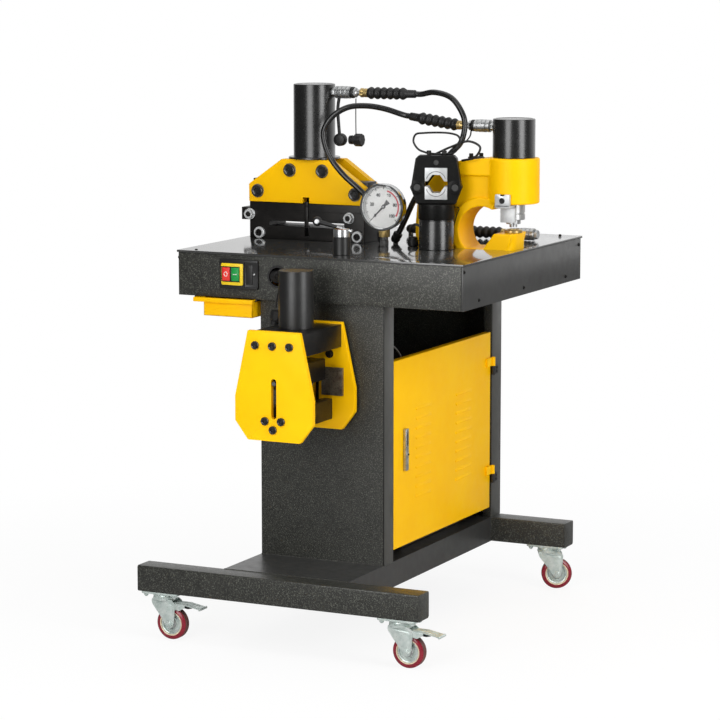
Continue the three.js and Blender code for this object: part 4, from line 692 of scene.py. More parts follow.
def coupler(name, port, way, body="bench", stands_for=()):
    bm = blank()
    revolve(bm, [(11.2, 0, 6), (11.2, 7, 6), (9.5, 8)], port, way)
    revolve(bm, COUPLER_RINGS, port, way)
    revolve(bm, [(9.4, 56), (11.6, 57, 6), (11.6, 63, 6), (9, 64), (7.6, 65), (7.6, 74)], port, way)
    return make(name + "_coupler", bm, nickel, stands_for, body)


def dark_ring(name, port, way):
    """The rubber ring that holds a dust cap's strap on the coupler."""
    rings = [(11, 47.6), (13.2, 48.4), (13.6, 50), (13.6, 54.6), (13.2, 56), (11, 56.6)]
    return make(name + "_ring", revolve(blank(), rings, port, way), soft_rubber)


def ferrule(name, port, way, metal):
    rings = [(8.4, 72.6), (11, 73.4, 6), (11, 81, 6), (9.8, 82), (9.8, 84), (10.6, 84.8), (10.6, COUPLING)]
    return make(name + "_ferrule", revolve(blank(), rings, port, way), metal)


print("coupler of", len(COUPLER_RINGS), "rings")

# %% [markdown]
# The restrictor's ribs come from a raised cosine, which swells and narrows as a moulding does. A
# power below one makes the crests a little fuller.

# %% Restrictor, and the whole hose end
VALLEY = 10.9
RIB_RISE = 3.7
FULLNESS = 0.75


def restrictor(name, port, way, bend=None, ribs=RIBS, cut_rings=8):
    rings = [(VALLEY - FIT, 0)]
    for i in range(ribs * cut_rings + 1):
        swell = (0.5 - 0.5 * math.cos(2 * math.pi * i / cut_rings)) ** FULLNESS
        rings.append((VALLEY + RIB_RISE * swell, i * RIB_PITCH / cut_rings))
    end = ribs * RIB_PITCH
    rings += [(10, end + 1.5), (9.7, end + 3), (9.4, end + SLEEVE - 2), (8.8, end + SLEEVE - 0.6),
              (7, end + SLEEVE)]
    bm = revolve(blank(), rings, port + way * COUPLING, bend or way, 40)
    return make(name + "_restrictor", bm, soft_rubber, crease=60)


def hose_end(name, port, way, bend=None, ribs=RIBS, metal=brass):
    pieces = [coupler(name, port, way, stands_for=[name]), dark_ring(name, port, way),
              ferrule(name, port, way, metal), restrictor(name, port, way, bend, ribs)]
    print(name, "with", ribs, "ribs")
    return pieces


hose_end("fitting_cutter", cutter_port, cutter_way)
hose_end("fitting_punch", punch_port, punch_way, punch_lift)
# The bender's ferrule is black oxide, not brass: painted shade for its place in the dark under the table.
hose_end("fitting_bender", bender_port, bender_way, ribs=BENDER_RIBS, metal=black_oxide)
free_hose("hose_crimp", crimp_route, hose_end("fitting_crimp", crimp_port, crimp_way))

# %% [markdown]
# Dust caps hang from the cutter's coupler on a strap and a thin wire. One is seen from its round
# back, the other from the side with its grips, so the second is an octagon.

# %% Dust caps
COUPLER_LOW = cutter_port.z - 13.5
STRAP_POINTS = [(-116.7, 350, COUPLER_LOW), (-115, 340, COUPLER_LOW - 25), (-111.5, 337, COUPLER_LOW - 60),
                (-109, 337, 1128)]
WIRE_POINTS = [(-72, 350, COUPLER_LOW), (-68, 341, COUPLER_LOW - 22), (-66, 337, COUPLER_LOW - 55),
               (-65.5, 337, 1130)]
ROUND_CAP = [(8, 0), (13.6, 1.5), (15, 5), (15, 18), (13.4, 21), (10, 22.5), (4, 23)]
GRIP_CAP = [(8, -18), (10.2, -17), (10.8, -10), (9, -9), (9, -3), (15.2, -2, 8), (15.2, 15, 8),
            (13.6, 16.4, 8), (6, 16.4)]
round_cap = sweep(blank(), smooth_path(STRAP_POINTS, 6), 3.9, 12)
revolve(round_cap, ROUND_CAP, (-106.6, 348, 1117), FRONT)
make("dust_cap_round", round_cap, soft_rubber, ["fitting_cutter"])
grip_cap = sweep(blank(), smooth_path(WIRE_POINTS, 6), 1.3, 10)
revolve(grip_cap, GRIP_CAP, (-64.5, 337, 1117.5), RIGHT)
make("dust_cap_grip", grip_cap, soft_rubber, ["fitting_cutter"])
print("two caps hang", round(COUPLER_LOW - 1117), "mm under the coupler")

# %% [markdown]
# ## Base
# The base is two square bars joined by a deck. Their rounded edges catch a thin line of light, and so
# do the welds at the column's foot: rods whose thickness ripples a little along their way.

# %% Bars, deck and welds
base_lo, base_hi = extent("base_frame")
BAR_HEIGHT = 60
BAR_DEPTH = 56
DECK_SHEET = 3
BAR_TOP = base_hi.z
BAR_LOW = BAR_TOP - BAR_HEIGHT
FRONT_BAR = (base_lo.y, base_lo.y + BAR_DEPTH)
REAR_BAR = (base_hi.y - BAR_DEPTH, base_hi.y)
COLUMN_X = 157.5
COLUMN_FRONT = 23.5
COLUMN_REAR = 699
DOORWAY = (74.5, 642)


def weld_bead(bm, start, end, radius=1.5, ripple=5):
    start, end = Vector(start), Vector(end)
    steps = max(int((end - start).length / ripple) * 2, 4)
    points = [start.lerp(end, i / steps) for i in range(steps + 1)]
    return sweep(bm, points, [radius * (1.1 if i % 2 else 0.85) for i in range(steps + 1)], 8)


for side, (y0, y1) in (("front", FRONT_BAR), ("rear", REAR_BAR)):
    bar = slab(blank(), rectangle((y0, y1), (BAR_LOW, BAR_TOP), 3.5), "x", base_lo.x, base_hi.x, 1.4)
    make(f"base_bar_{side}", bar, hammer_grey, ["base_frame"], crease=50)

deck = blank()
inner, under = COLUMN_X - DECK_SHEET, BAR_TOP - DECK_SHEET
channel = [(-COLUMN_X, BAR_LOW), (-COLUMN_X, BAR_TOP), (COLUMN_X, BAR_TOP), (COLUMN_X, BAR_LOW),
           (inner, BAR_LOW), (inner, under), (-inner, under), (-inner, BAR_LOW)]
slab(deck, channel, "y", FRONT_BAR[1], REAR_BAR[0], 0)
make("base_deck", deck, smooth_grey, ["base_frame"])

beads = blank()
for side in (-1, 1):
    for y in (FRONT_BAR[1], REAR_BAR[0]):
        weld_bead(beads, (side * COLUMN_X, y, BAR_LOW + 4), (side * COLUMN_X, y, BAR_TOP - 1))
    weld_bead(beads, (side * COLUMN_X, COLUMN_FRONT + 2.5, BAR_TOP),
              (side * COLUMN_X, DOORWAY[0] - 0.5, BAR_TOP))
weld_bead(beads, (-COLUMN_X, COLUMN_FRONT, BAR_TOP), (COLUMN_X, COLUMN_FRONT, BAR_TOP))
for y in (FRONT_BAR[1] - 2, REAR_BAR[0] + 2):
    weld_bead(beads, (-COLUMN_X, y, BAR_TOP), (COLUMN_X, y, BAR_TOP), 1.1)
make("base_welds", beads, hammer_grey, ["base_frame"], crease=70)
print("bars", round(base_hi.x - base_lo.x), "mm long")

# %% [markdown]
# ## Casters
# A swivel caster is pressed from zinc plated sheet: a ball race on top, two legs that taper to the
# axle, and a red polyurethane tyre on a cream hub. Each is drawn once in its own place, with the wheel
# behind the swivel, and then turned to where the frame's joint and wheel have it.

# %% Where the casters stand
CASTERS = ("front_left", "front_right", "rear_left", "rear_right")
AXLE = (22, 0, 37.5)
LEGS_Y = (15.9, 18.6)


def caster_turn(corner):
    """Moves a drawing from the caster's own place to the bench."""
    swivel = anchor("caster_swivel_" + corner)
    axle = anchor("wheel_spin_" + corner)
    turn = math.atan2(axle.y - swivel.y, axle.x - swivel.x)
    return Matrix.Translation((swivel.x, swivel.y, 0)) @ Matrix.Rotation(turn, 4, "Z")


def placed(bm, matrix):
    bmesh.ops.transform(bm, matrix=matrix, verts=bm.verts)
    return bm


print(len(CASTERS), "casters")

# %% [markdown]
# The mounting plate is bolted under the bar and doesn't swivel, so it stays square to the bench and
# rides with the base.


# %% Mounting plates and their bolts
def caster_plate():
    bm = blank()
    slab(bm, rectangle((-47, 47), (-28, 28), 7), "z", 106, 110.4, 0.6)
    for x in (-37, 37):
        for y in (-20, 20):
            revolve(bm, [(7, 106), (7, 104.6), (5.6, 104.4, 6), (5.6, 101.2, 6), (4.8, 100.6), (3, 100.6),
                         (3, 98.6), (0, 98.4)], (x, y, 0), UP, 36)
    return bm


for corner in CASTERS:
    place = anchor("caster_swivel_" + corner)
    make("caster_plate_" + corner, placed(caster_plate(), Matrix.Translation((place.x, place.y, 0))), zinc,
         ["base_frame"])
print("plates", round(place.z), "mm up")

# %% [markdown]
# The fork is one pressing: a turned race, a bridge, and two legs with a raised panel that stiffens
# them. The axle with its nuts doesn't turn with the wheel, so it belongs to the fork.


# %% Forks
def caster_fork():
    bm = blank()
    race = [(12, 90), (22, 90.4), (25.4, 92), (26, 94.4), (26, 97.6), (24.2, 98.8), (24.2, 100.2),
            (26, 101.4), (25.6, 103.6), (24, 105.6), (0, 105.7)]
    revolve(bm, race, steps=72)
    leg = rounded([(-23.5, 94), (-23.5, 83.7), (10, 40), (15.5, 28.5), (28.5, 28.5), (33, 40), (37, 86),
                   (27, 94)], [4, 14, 10, 7, 7, 12, 6, 4], 6)
    for side in (-1, 1):
        faces = sorted(side * y for y in LEGS_Y)
        slab(bm, leg, "y", *faces, 0.7)
        revolve(bm, [(9.6, 0), (9.6, 1), (8.2, 1.3), (8, 1.4, 6), (8, 4.4, 6), (6.4, 5), (4.4, 5), (4, 6.4),
                     (0, 6.6)], (AXLE[0], side * 18.5, AXLE[2]), (0, side, 0), 36)
        raised = sorted((side * 18.4, side * 19.2))
        slab(bm, rounded([(-16, 88), (-8, 66), (12, 36), (28, 34), (32, 84)], 7, 6), "y", *raised, 0.35)
    block(bm, (-23.5, -18.5, 91), (28, 18.5, 94.6), 1.6)
    revolve(bm, [(4.6, -16), (4.6, 16)], AXLE, BACK, 24)
    return bm


for corner in CASTERS:
    make("fork_" + corner, placed(caster_fork(), caster_turn(corner)), zinc, ["caster_fork_" + corner],
         "caster_" + corner)
print("fork legs", round(LEGS_Y[1] - LEGS_Y[0], 1), "mm thick")

# %% [markdown]
# A wheel is five rings on one axis: tyre, tread, rim, web and bearing. They have different finishes,
# so each is its own piece, and its list of rings closes on itself round the bore.


# %% Wheels
def turned_wheel(rings, corner, name, material, steps=72):
    bm = revolve(blank(), rings, AXLE, BACK, steps, loop=True)
    make(f"{name}_{corner}", placed(bm, caster_turn(corner)), material, ["caster_wheel_" + corner],
         "wheel_" + corner)


def mirrored(half, *middle):
    """Rings from one face to the middle, and back to the other face."""
    return [*half, *middle, *((radius, -height) for radius, height in reversed(half))]


TYRE = mirrored([(28, -10.8), (29.4, -12), (31.4, -11.9), (35.6, -9.6), (37, -8.4), (37.2, -7.6),
                 (36.4, -7.2)])
TREAD = mirrored([(36.2, -7.3), (37.4, -7.2), (37.5, -6)])
RIM = mirrored([(25.6, -9.4), (26, -11), (27, -11.6), (28.2, -11.2)], (28.4, 0))
WEB = mirrored([(9, -7.4), (13.6, -8.4), (15.4, -5.4), (20.6, -5), (22, -8.8), (24.4, -9.8), (25.8, -8.8)])
BEARING = mirrored([(5.1, -13), (8.4, -13.4), (11.6, -12.4), (13, -10), (13, -6)])
for corner in CASTERS:
    turned_wheel(TYRE, corner, "tyre", tyre_red, 96)
    turned_wheel(TREAD, corner, "tread", tread_red, 96)
    turned_wheel(RIM, corner, "rim", hub_cream)
    turned_wheel(WEB, corner, "web", zinc)
    turned_wheel(BEARING, corner, "bearing", bright_steel, 48)
print(len(CASTERS), "casters with wheels of", 2 * TREAD[2][0], "mm")

# %% [markdown]
# The brake is a sheet pedal with two pressed beads and a rolled end, held between two cheeks. The
# foot pushes it down, and a black spring leaf under it then grips the tyre.


# %% Brake pedals
def brake_pedal():
    bm = blank()
    sheet = [(14, 84.4), (58, 84.4), (98, 77.6), (99, 79.6), (60, 86.4), (14, 86.6)]
    slab(bm, sheet, "y", -16.6, 16.6, 0.5)
    revolve(bm, [(2.6, -17), (3, -16.4), (3, 16.4), (2.6, 17)], (99.4, 0, 78), BACK, 24)
    for y in (-7.5, 7.5):
        sweep(bm, [(24, y, 86), (58, y, 86.2), (88, y, 81.2)], 1.3, 10)
    for y in (-14.6, 14.6):
        slab(bm, rounded([(34, 72), (46, 70), (60, 78), (62, 84.6), (30, 84.6)], 2), "y", y - 1, y + 1, 0.3)
    return bm


def brake_shoe():
    """The black spring leaf that the pedal presses on the tyre."""
    bm = blank()
    slab(bm, [(40, 77), (66, 75), (80, 78.6), (80, 80.2), (64, 77.6), (40, 79.6)], "y", -9, 9, 0.4)
    return bm


for corner in ("front_left", "front_right"):
    make("pedal_" + corner, placed(brake_pedal(), caster_turn(corner)), zinc, ["brake_pedal_" + corner],
         "pedal_" + corner)
    make("brake_leaf_" + corner, placed(brake_shoe(), caster_turn(corner)), black_oxide,
         ["brake_pedal_" + corner], "pedal_" + corner)
print("two brakes")

# %% [markdown]
# ## Column
# The column is a folded sheet box, open at its right for the door and at its back for cooling air.
# Its plan is drawn once and pushed up to the table, and the vents are cut through it. The posts beside
# the doorway catch more light, so they carry a skin of lighter paint. A dark seam marks the fold.

# %% Folded column
COLUMN_TOP = extent("column")[1].z
SHEET = 2.5
POST_LIP = 22
VENT_HALF = 75
VENT_PITCH = 24
right, lip = COLUMN_X, COLUMN_X - POST_LIP
skin, near, far = COLUMN_X - SHEET, COLUMN_FRONT + SHEET, COLUMN_REAR - SHEET
door_near, door_far = DOORWAY
plan = [(right, door_near), (right, COLUMN_FRONT), (-right, COLUMN_FRONT), (-right, COLUMN_REAR),
        (right, COLUMN_REAR), (right, door_far), (lip, door_far), (lip, door_far + SHEET),
        (skin, door_far + SHEET), (skin, far), (-skin, far), (-skin, near), (skin, near),
        (skin, door_near - SHEET), (lip, door_near - SHEET), (lip, door_near)]
folds = [1.6] * 6 + [0.8] * 10
column = slab(blank(), rounded(plan, folds, 3), "z", BAR_TOP, COLUMN_TOP, 0)
vents = blank()
for i in range(-2, 3):
    height = (COLUMN_TOP + BAR_TOP) / 2 + VENT_PITCH * i
    vent = rectangle((-VENT_HALF, VENT_HALF), (height - 3, height + 3), 2.9)
    slab(vents, vent, "y", COLUMN_REAR - 9, COLUMN_REAR + 11, 0)
make("column_sheet", combine(column, vents), hammer_grey, ["column"], crease=50)
seam = block(blank(), (right - 1.1, COLUMN_FRONT - FIT, BAR_TOP + 1),
             (right + FIT, COLUMN_FRONT + 1.9, COLUMN_TOP - 1), 0.3)
make("column_seam", seam, black_oxide, ["column"])
# The posts' lighter grey is painted light, for the light that their side catches.
posts = blank()
for y0, y1 in ((COLUMN_FRONT + 2.3, door_near - 0.2), (door_far + 0.2, COLUMN_REAR - 0.4)):
    block(posts, (right - 0.3, y0, BAR_TOP + 0.5), (right + 0.7, y1, COLUMN_TOP - 0.5), 0.4)
make("column_posts_painted_light", posts, post_grey_painted_light, ["column"])
print("column", round(COLUMN_TOP - BAR_TOP), "mm high")

# %% [markdown]
# Each hinge has a lower leaf on the rear post and an upper one on the door, with the pin in the
# lower. The upper half is a piece of its own, because it swings with the door.

# %% Hinges
HINGE = (162.8, 639)
HINGE_LEVELS = (281, 551)
for level in HINGE_LEVELS:
    fixed = blank()
    revolve(fixed, [(4.4, -22), (5, -21.4), (5, -0.8), (4.4, -0.3), (2.4, -0.3), (2.4, 11), (0, 11.4)],
            (*HINGE, level), UP, 36)
    block(fixed, (157, 642, level - 22), (162.8, 670.5, level - 0.5), 0.6)
    block(fixed, (158, 638, level - 21.8), (162.4, 643, level - 0.6), 0.4)
    for z in (-16, -6.5):
        revolve(fixed, [(3.4, 0), (3.2, 1.2), (2, 1.8), (0, 1.8)], (162.6, 662, level + z), RIGHT, 24)
    make(f"hinge_fixed_{level}", fixed, satin_black, ["column"])
    moving = blank()
    revolve(moving, [(2.6, 0.3), (4.6, 0.3), (5, 0.8), (5, 21.4), (4.4, 22), (2.6, 22)], (*HINGE, level), UP,
            36, loop=True)
    block(moving, (157.2, 604.5, level + 0.5), (162.4, 636, level + 21.6), 0.6)
    make(f"hinge_door_{level}", moving, yellow_enamel, ["cabinet_door"], "door")
print("hinges at", HINGE_LEVELS)

# %% [markdown]
# ## Door
# The door is a shallow pan with its edges folded back. Pressed louvres are only a few millimetres
# proud, and what shows of them is a soft shadow under each lip.

# %% Door pan and louvres
DOOR_Y = (77.5, 633)
DOOR_Z = (197, 635)
DOOR_DEPTH = 18
DOOR_SHEET = 2
LATCH_Y = 133.5
SPINDLE_Z = 423
LOUVRES = 10
LOUVRE_LOW = 300
LOUVRE_PITCH = 23
door = block(blank(), (COLUMN_X - DOOR_DEPTH, DOOR_Y[0], DOOR_Z[0]),
             (COLUMN_X, DOOR_Y[1], DOOR_Z[1]), 1.6, 3)
hollow = block(blank(), (130, DOOR_Y[0] + DOOR_SHEET, DOOR_Z[0] + DOOR_SHEET),
               (COLUMN_X - DOOR_SHEET, DOOR_Y[1] - DOOR_SHEET, DOOR_Z[1] - DOOR_SHEET), 0.8)
door = combine(door, hollow)
spindle_hole = revolve(blank(), [(6.4, 0), (6.4, 60)], (120, LATCH_Y, SPINDLE_Z), RIGHT, 32)
make("door_pan", combine(door, spindle_hole), yellow_enamel, ["cabinet_door"], "door", crease=40)

louvres = blank()
for y0, y1 in ((197, 281), (425, 515)):
    for i in range(LOUVRES):
        z = LOUVRE_LOW + LOUVRE_PITCH * i
        lip = [(156.6, z - 1), (158.9, z - 1.4), (159.3, z - 0.6), (159.1, z + 1), (157, z + 8)]
        slab(louvres, lip, "y", y0, y1, 0.5)
make("door_louvres", louvres, yellow_enamel, ["cabinet_door"], "door", crease=60)
print("door", round(DOOR_Y[1] - DOOR_Y[0]), "by", round(DOOR_Z[1] - DOOR_Z[0]), "mm")

# %% [markdown]
# The latch is a plated paddle with a scoop for the finger and a lock below it. Its spindle goes
# through the door to a tongue behind the post, and all of that turns together.

# %% Latch
LATCH_HALF = 7
LOCK_Z = 412
LATCH_SIDES = (LATCH_Y - LATCH_HALF, LATCH_Y + LATCH_HALF)
latch = block(blank(), (157.8, LATCH_SIDES[0], 374), (166.6, LATCH_SIDES[1], 472), 1.6, 3)
scoop = slab(blank(), rectangle((130, 137), (432, 464), 3), "x", 161, 180, 0)
latch = combine(latch, scoop)
block(latch, (163, 130.6, 380), (168.4, 136.4, 404), 1.4, 3)
revolve(latch, [(5.4, 0), (5.2, 1), (4.6, 1.3), (1.6, 1.3), (1.4, 0.3), (0, 0.3)], (166.4, LATCH_Y, LOCK_Z),
        RIGHT, 32)
revolve(latch, [(6, 131.5), (6, 158)], (0, LATCH_Y, SPINDLE_Z), RIGHT, 32)
slab(latch, rectangle(LATCH_SIDES, (353, 430), 5), "x", 131.5, 134.5, 0.5)
make("latch_paddle", latch, nickel, ["door_latch"], "latch")
key = revolve(blank(), [(2.2, 0), (2.2, 2.4), (1.8, 2.8), (0, 2.8)], (167.4, LATCH_Y, LOCK_Z), RIGHT, 24)
make("latch_keyhole", key, black_oxide, ["door_latch"], "latch")
print("latch at", SPINDLE_Z, "mm")

# %% [markdown]
# ## Table
# The table is a box of four panels under a plate. The front panel stops five millimetres short of
# the corner, where the side panel folds round, which leaves a narrow joint with a bright edge.

# %% Panels under the table
SKIRT_X = 361.5
SKIRT_FRONT = 3.5
SKIRT_REAR = table_hi.y - 3.5
SKIRT_LOW = COLUMN_TOP
SKIRT_TOP = table_lo.z - FIT
PANEL = 3
CORNER_FOLD = 4.8
HOSE_HOLE = (-102, 25)
SWITCH_X = (-249, -150)
SWITCH_Z = (TABLE - 83, TABLE - 15)
panel_back = SKIRT_FRONT + PANEL
front_panel = block(blank(), (-SKIRT_X, SKIRT_FRONT, SKIRT_LOW), (SKIRT_X - 5.4, panel_back, SKIRT_TOP),
                    0.8, 3)
hose_hole = revolve(blank(), [(HOSE_HOLE[1], -20), (HOSE_HOLE[1], 20)],
                    (HOSE_HOLE[0], SKIRT_FRONT, HOSE_LEVEL), BACK, 64)
switch_hole = block(blank(), (SWITCH_X[0] + 4, -10, SWITCH_Z[0] + 4),
                    (SWITCH_X[1] - 4, 20, SWITCH_Z[1] - 4), 0)
front_panel = combine(combine(front_panel, hose_hole), switch_hole)
make("skirt_front", front_panel, hammer_grey, ["table_frame"], crease=40)

wall, fold = SKIRT_X - PANEL, SKIRT_X - CORNER_FOLD
right_plan = [(SKIRT_X, SKIRT_FRONT - 0.1), (SKIRT_X, SKIRT_REAR), (wall, SKIRT_REAR), (wall, panel_back),
              (fold, panel_back), (fold, SKIRT_FRONT - 0.1)]
right_plan = rounded(right_plan, [1.2, 1, 0, 0.4, 0, 0.4], 3)
sides = slab(blank(), right_plan, "z", SKIRT_LOW, SKIRT_TOP, 0.5)
block(sides, (-SKIRT_X, panel_back, SKIRT_LOW), (-wall, SKIRT_REAR, SKIRT_TOP), 0.6)
block(sides, (-wall, SKIRT_REAR - PANEL, SKIRT_LOW), (wall, SKIRT_REAR, SKIRT_TOP), 0.6)
make("skirt_sides", sides, smooth_grey, ["table_frame"], crease=40)
print("panels", round(SKIRT_TOP - SKIRT_LOW), "mm high")

# %% [markdown]
# The screws have low round heads with a hexagon in them. Their places were read from the right
# panel, and the left one has the same. A rubber grommet lines the hole for the bender's hose.


# %% Screws and grommet
def pan_screw(bm, at, along, radius=4.4):
    socket = radius * 0.5
    rings = [(radius, 0), (radius, 0.5), (radius * 0.86, 1.7), (socket * 1.2, 2.3), (socket, 2, 6),
             (socket, 0.9, 6), (0, 0.8)]
    return revolve(bm, rings, at, along, 36)


PANEL_SCREWS = ((8, 857), (91, 786), (352, 786), (612, 785), (697, 854))
PLATE_SCREWS = ((-322.5, 18.5), (-97.4, 111.1), (-66.2, 143.3), (19.1, 221.3), (311, 700), (-322.5, 700))
screws = blank()
for y, z in PANEL_SCREWS:
    pan_screw(screws, (SKIRT_X, y, z), RIGHT)
    pan_screw(screws, (-SKIRT_X, y, z), LEFT)
for x, y in PLATE_SCREWS:
    pan_screw(screws, (x, y, TABLE), UP, 3.6)
make("table_screws", screws, black_oxide, ["table_frame"])
GROMMET = [(25, -1), (24.9, 3.4), (21.4, 3.4), (20.6, 1), (21.4, -2.2), (25.6, -2.2), (26.2, -1)]
grommet = revolve(blank(), GROMMET, (HOSE_HOLE[0], SKIRT_FRONT + 0.6, HOSE_LEVEL), BACK, 64, loop=True)
make("hose_grommet", grommet, soft_rubber, ["table_frame"])
print(2 * len(PANEL_SCREWS) + len(PLATE_SCREWS), "screws")

# %% [markdown]
# Two bearers of channel carry the table over the column, and the front one is bored for the hose. Two
# folded rails hold the drawer by its lips.

# %% Bearers and drawer rails
BEARER_SHEET = 4
for name, web, leg in (("bearer_24", (23.5, 27.5), (27, 53.5)), ("bearer_695", (695, 699), (669, 695.5))):
    bar = block(blank(), (-COLUMN_X, web[0], SKIRT_LOW), (COLUMN_X, web[1], SKIRT_TOP), 0.5)
    if web[0] == COLUMN_FRONT:
        bar = combine(bar, revolve(blank(), [(25, 0), (25, 20)], (-121.6, 15, HOSE_LEVEL), BACK))
    for low in (SKIRT_LOW, SKIRT_TOP - BEARER_SHEET):
        block(bar, (-COLUMN_X, leg[0], low), (COLUMN_X, leg[1], low + BEARER_SHEET), 0.5)
    make(name, bar, smooth_grey, ["table_frame"])
RAIL_Y = (5, 340)
RAIL_LOW = 763.7
rails = blank()
for wall, shelf in (((-320.5, -318.5), (-320.5, -306.5)), ((-159.8, -157.8), (-162.8, -157.8))):
    block(rails, (wall[0], RAIL_Y[0], RAIL_LOW), (wall[1], RAIL_Y[1], 773.5), 0.3)
    block(rails, (shelf[0], RAIL_Y[0], RAIL_LOW), (shelf[1], RAIL_Y[1], 765.7), 0.3)
make("drawer_rails", rails, smooth_grey, ["table_frame"])
print("rails", RAIL_Y[1] - RAIL_Y[0], "mm long")

# %% [markdown]
# The plate is cut through where the punch's frame sits in it, and bored for the valve and the pipes.

# %% Table plate
PLATE_BORES = ((27, 73, 12.3), (35.5, 344, 7), (8, 327, 7), (-20, 549, 7))
THROUGH = (850, 890)
plate = slab(blank(), rectangle((table_lo.x, table_hi.x), (table_lo.y, table_hi.y), 3), "z", table_lo.z,
             TABLE, 0.7, 3)
plate = combine(plate, block(blank(), (196, 317, THROUGH[0]), (347, 410, THROUGH[1]), 0))
for x, y, radius in PLATE_BORES:
    plate = combine(plate, revolve(blank(), [(radius, z) for z in THROUGH], (x, y, 0), UP, 32))
make("table_plate", plate, mirror_black, ["table_top"], crease=25)
print("plate with", len(PLATE_BORES), "bores")

# %% [markdown]
# ## Drawer
# A shallow tray for dies hangs by its lips on two rails, and pulls out to the front. It is folded
# from thin sheet.

# %% Drawer
TRAY_X = (-293.5, -166.5)
TRAY_Y = (0, 340)
TRAY_Z = (725.5, 767.5)
TRAY_SHEET = 1.5
LIPS_X = (-317.5, -161.5)
(x0, x1), (y0, y1), (z0, z1) = TRAY_X, TRAY_Y, TRAY_Z
tray = blank()
for low, high in (((x0, y0, z0), (x1, y1, z0 + TRAY_SHEET)),
                  ((x0, y0, z0), (x0 + TRAY_SHEET, y1, z1)),
                  ((x1 - TRAY_SHEET, y0, z0), (x1, y1, z1)),
                  ((x0, y0, z0), (x1, y0 + TRAY_SHEET, z1)),
                  ((x0, y1 - TRAY_SHEET, z0), (x1, y1, z1)),
                  ((LIPS_X[0], y0, z1 - TRAY_SHEET), (x0 + TRAY_SHEET, y1, z1)),
                  ((x1 - TRAY_SHEET, y0, z1 - TRAY_SHEET), (LIPS_X[1], y1, z1))):
    block(tray, low, high, 0.4)
block(tray, (LIPS_X[0], y0 - 8, z1 - 10), (LIPS_X[1], y0 + TRAY_SHEET, z1), 0.9, 3)
make("drawer_tray", tray, yellow_enamel, ["drawer"], "drawer")
print("drawer", y1 - y0, "mm deep")

# %% [markdown]
# ## Switch
# A black box sits in the front panel with its rim proud. Its left half is a yellow plate with a red
# and a green button. Each is a piece of its own, because it can be pressed, and its mark rides on it.

# %% Switch box
rim = block(blank(), (SWITCH_X[0], -5.5, SWITCH_Z[0]), (SWITCH_X[1], SKIRT_FRONT, SWITCH_Z[1]), 2, 3)
tray_cut = block(blank(), (-184, -9, SWITCH_Z[0] + 5.5), (SWITCH_X[1] + 5, -2.5, SWITCH_Z[1] - 5.5), 0.8)
rim = combine(rim, tray_cut)
block(rim, (SWITCH_X[0] + 4.5, 3, SWITCH_Z[0] + 4.5), (SWITCH_X[1] - 4.5, 21.5, SWITCH_Z[1] - 4.5), 1)
block(rim, (-181, -4.4, 803), (-163, -2, 849), 1.2, 3)
block(rim, (-178, -5.2, 841), (-168, -4, 846), 0.5)
make("switch_rim", rim, switch_black, ["switch_box"])
pin = revolve(blank(), [(2.6, 0), (2.6, 2.2), (2, 3), (0, 3.2)], (-159, -2.6, 827), FRONT, 24)
make("switch_pin", pin, bright_steel, ["switch_box"])
print("switch box", SWITCH_X[1] - SWITCH_X[0], "by", round(SWITCH_Z[1] - SWITCH_Z[0]), "mm")

# %% [markdown]
# The cover has a window for each button, with a thin dark frame round it.

# %% Switch cover
STOP_X = -230
START_X = -206
BUTTON_Z = 825.5
COVER_HALF = 25
WINDOW_HALF = (10.8, 16.5)
cover = rectangle((-242.6, -186.6), (BUTTON_Z - COVER_HALF, BUTTON_Z + COVER_HALF), 3.5)
cover = slab(blank(), cover, "y", -8, -4, 1.1, 3)
frames = blank()
for x in (STOP_X, START_X):
    window = rectangle((x - WINDOW_HALF[0], x + WINDOW_HALF[0]),
                       (BUTTON_Z - WINDOW_HALF[1], BUTTON_Z + WINDOW_HALF[1]), 1.2)
    cover = combine(cover, slab(blank(), window, "y", -12, 2, 0))
    for x0, x1, z0, z1 in ((x - 11.9, x - 10.4, 808, 843), (x + 10.4, x + 11.9, 808, 843),
                           (x - 11.9, x + 11.9, 807.6, 809.2), (x - 11.9, x + 11.9, 841.8, 843.4)):
        block(frames, (x0, -8.7, z0), (x1, -5, z1), 0.4)
make("switch_cover", cover, switch_yellow, ["switch_box"])
make("switch_frames", frames, switch_black, ["switch_box"])
print("two windows of", 2 * WINDOW_HALF[0], "mm")

# %% [markdown]
# A button's mark is a thin raised form of white plastic: a ring for stop and a bar for start.

# %% Buttons with their marks
BUTTON_HALF = (10, 15.7)
for name, x, plastic in (("stop_button", STOP_X, button_red), ("start_button", START_X, button_green)):
    key_top = block(blank(), (x - BUTTON_HALF[0], -9.6, BUTTON_Z - BUTTON_HALF[1]),
                    (x + BUTTON_HALF[0], 10.5, BUTTON_Z + BUTTON_HALF[1]), 1.6, 3)
    make(name + "_cap", key_top, plastic, [name], name)
turns = [math.pi * i / 16 for i in range(32)]
ring = [(STOP_X + 4 * math.cos(a), -9.7, BUTTON_Z + 5 * math.sin(a)) for a in turns]
stop_ring = sweep(blank(), ring, 0.75, 8, closed=True)
make("stop_mark", stop_ring, white_plastic, ["stop_button"], "stop_button")
start_bar = block(blank(), (START_X - 5, -10.1, BUTTON_Z - 0.9), (START_X + 5, -9.2, BUTTON_Z + 0.9), 0.3)
make("start_mark", start_bar, white_plastic, ["start_button"], "start_button")
print("stop and start", START_X - STOP_X, "mm apart")

# %% [markdown]
# ## Bender
# Two yellow plates are bolted over a head block and an anvil. The cylinder presses a crosshead with a
# rounded nose into the anvil's V. A pin through both plates keeps the crosshead straight.

# %% Cap screws
def cap_screw(bm, at, along, radius, height):
    """A round head with a hexagon socket, as deep as it is dark."""
    socket = radius * 0.58
    return revolve(bm, [(radius * 0.97, 0), (radius, 0.4), (radius, height * 0.82), (radius * 0.93, height),
                        (socket * 1.14, height), (socket, height - 0.8, 6), (socket, height * 0.3, 6),
                        (0, height * 0.26)], at, along)


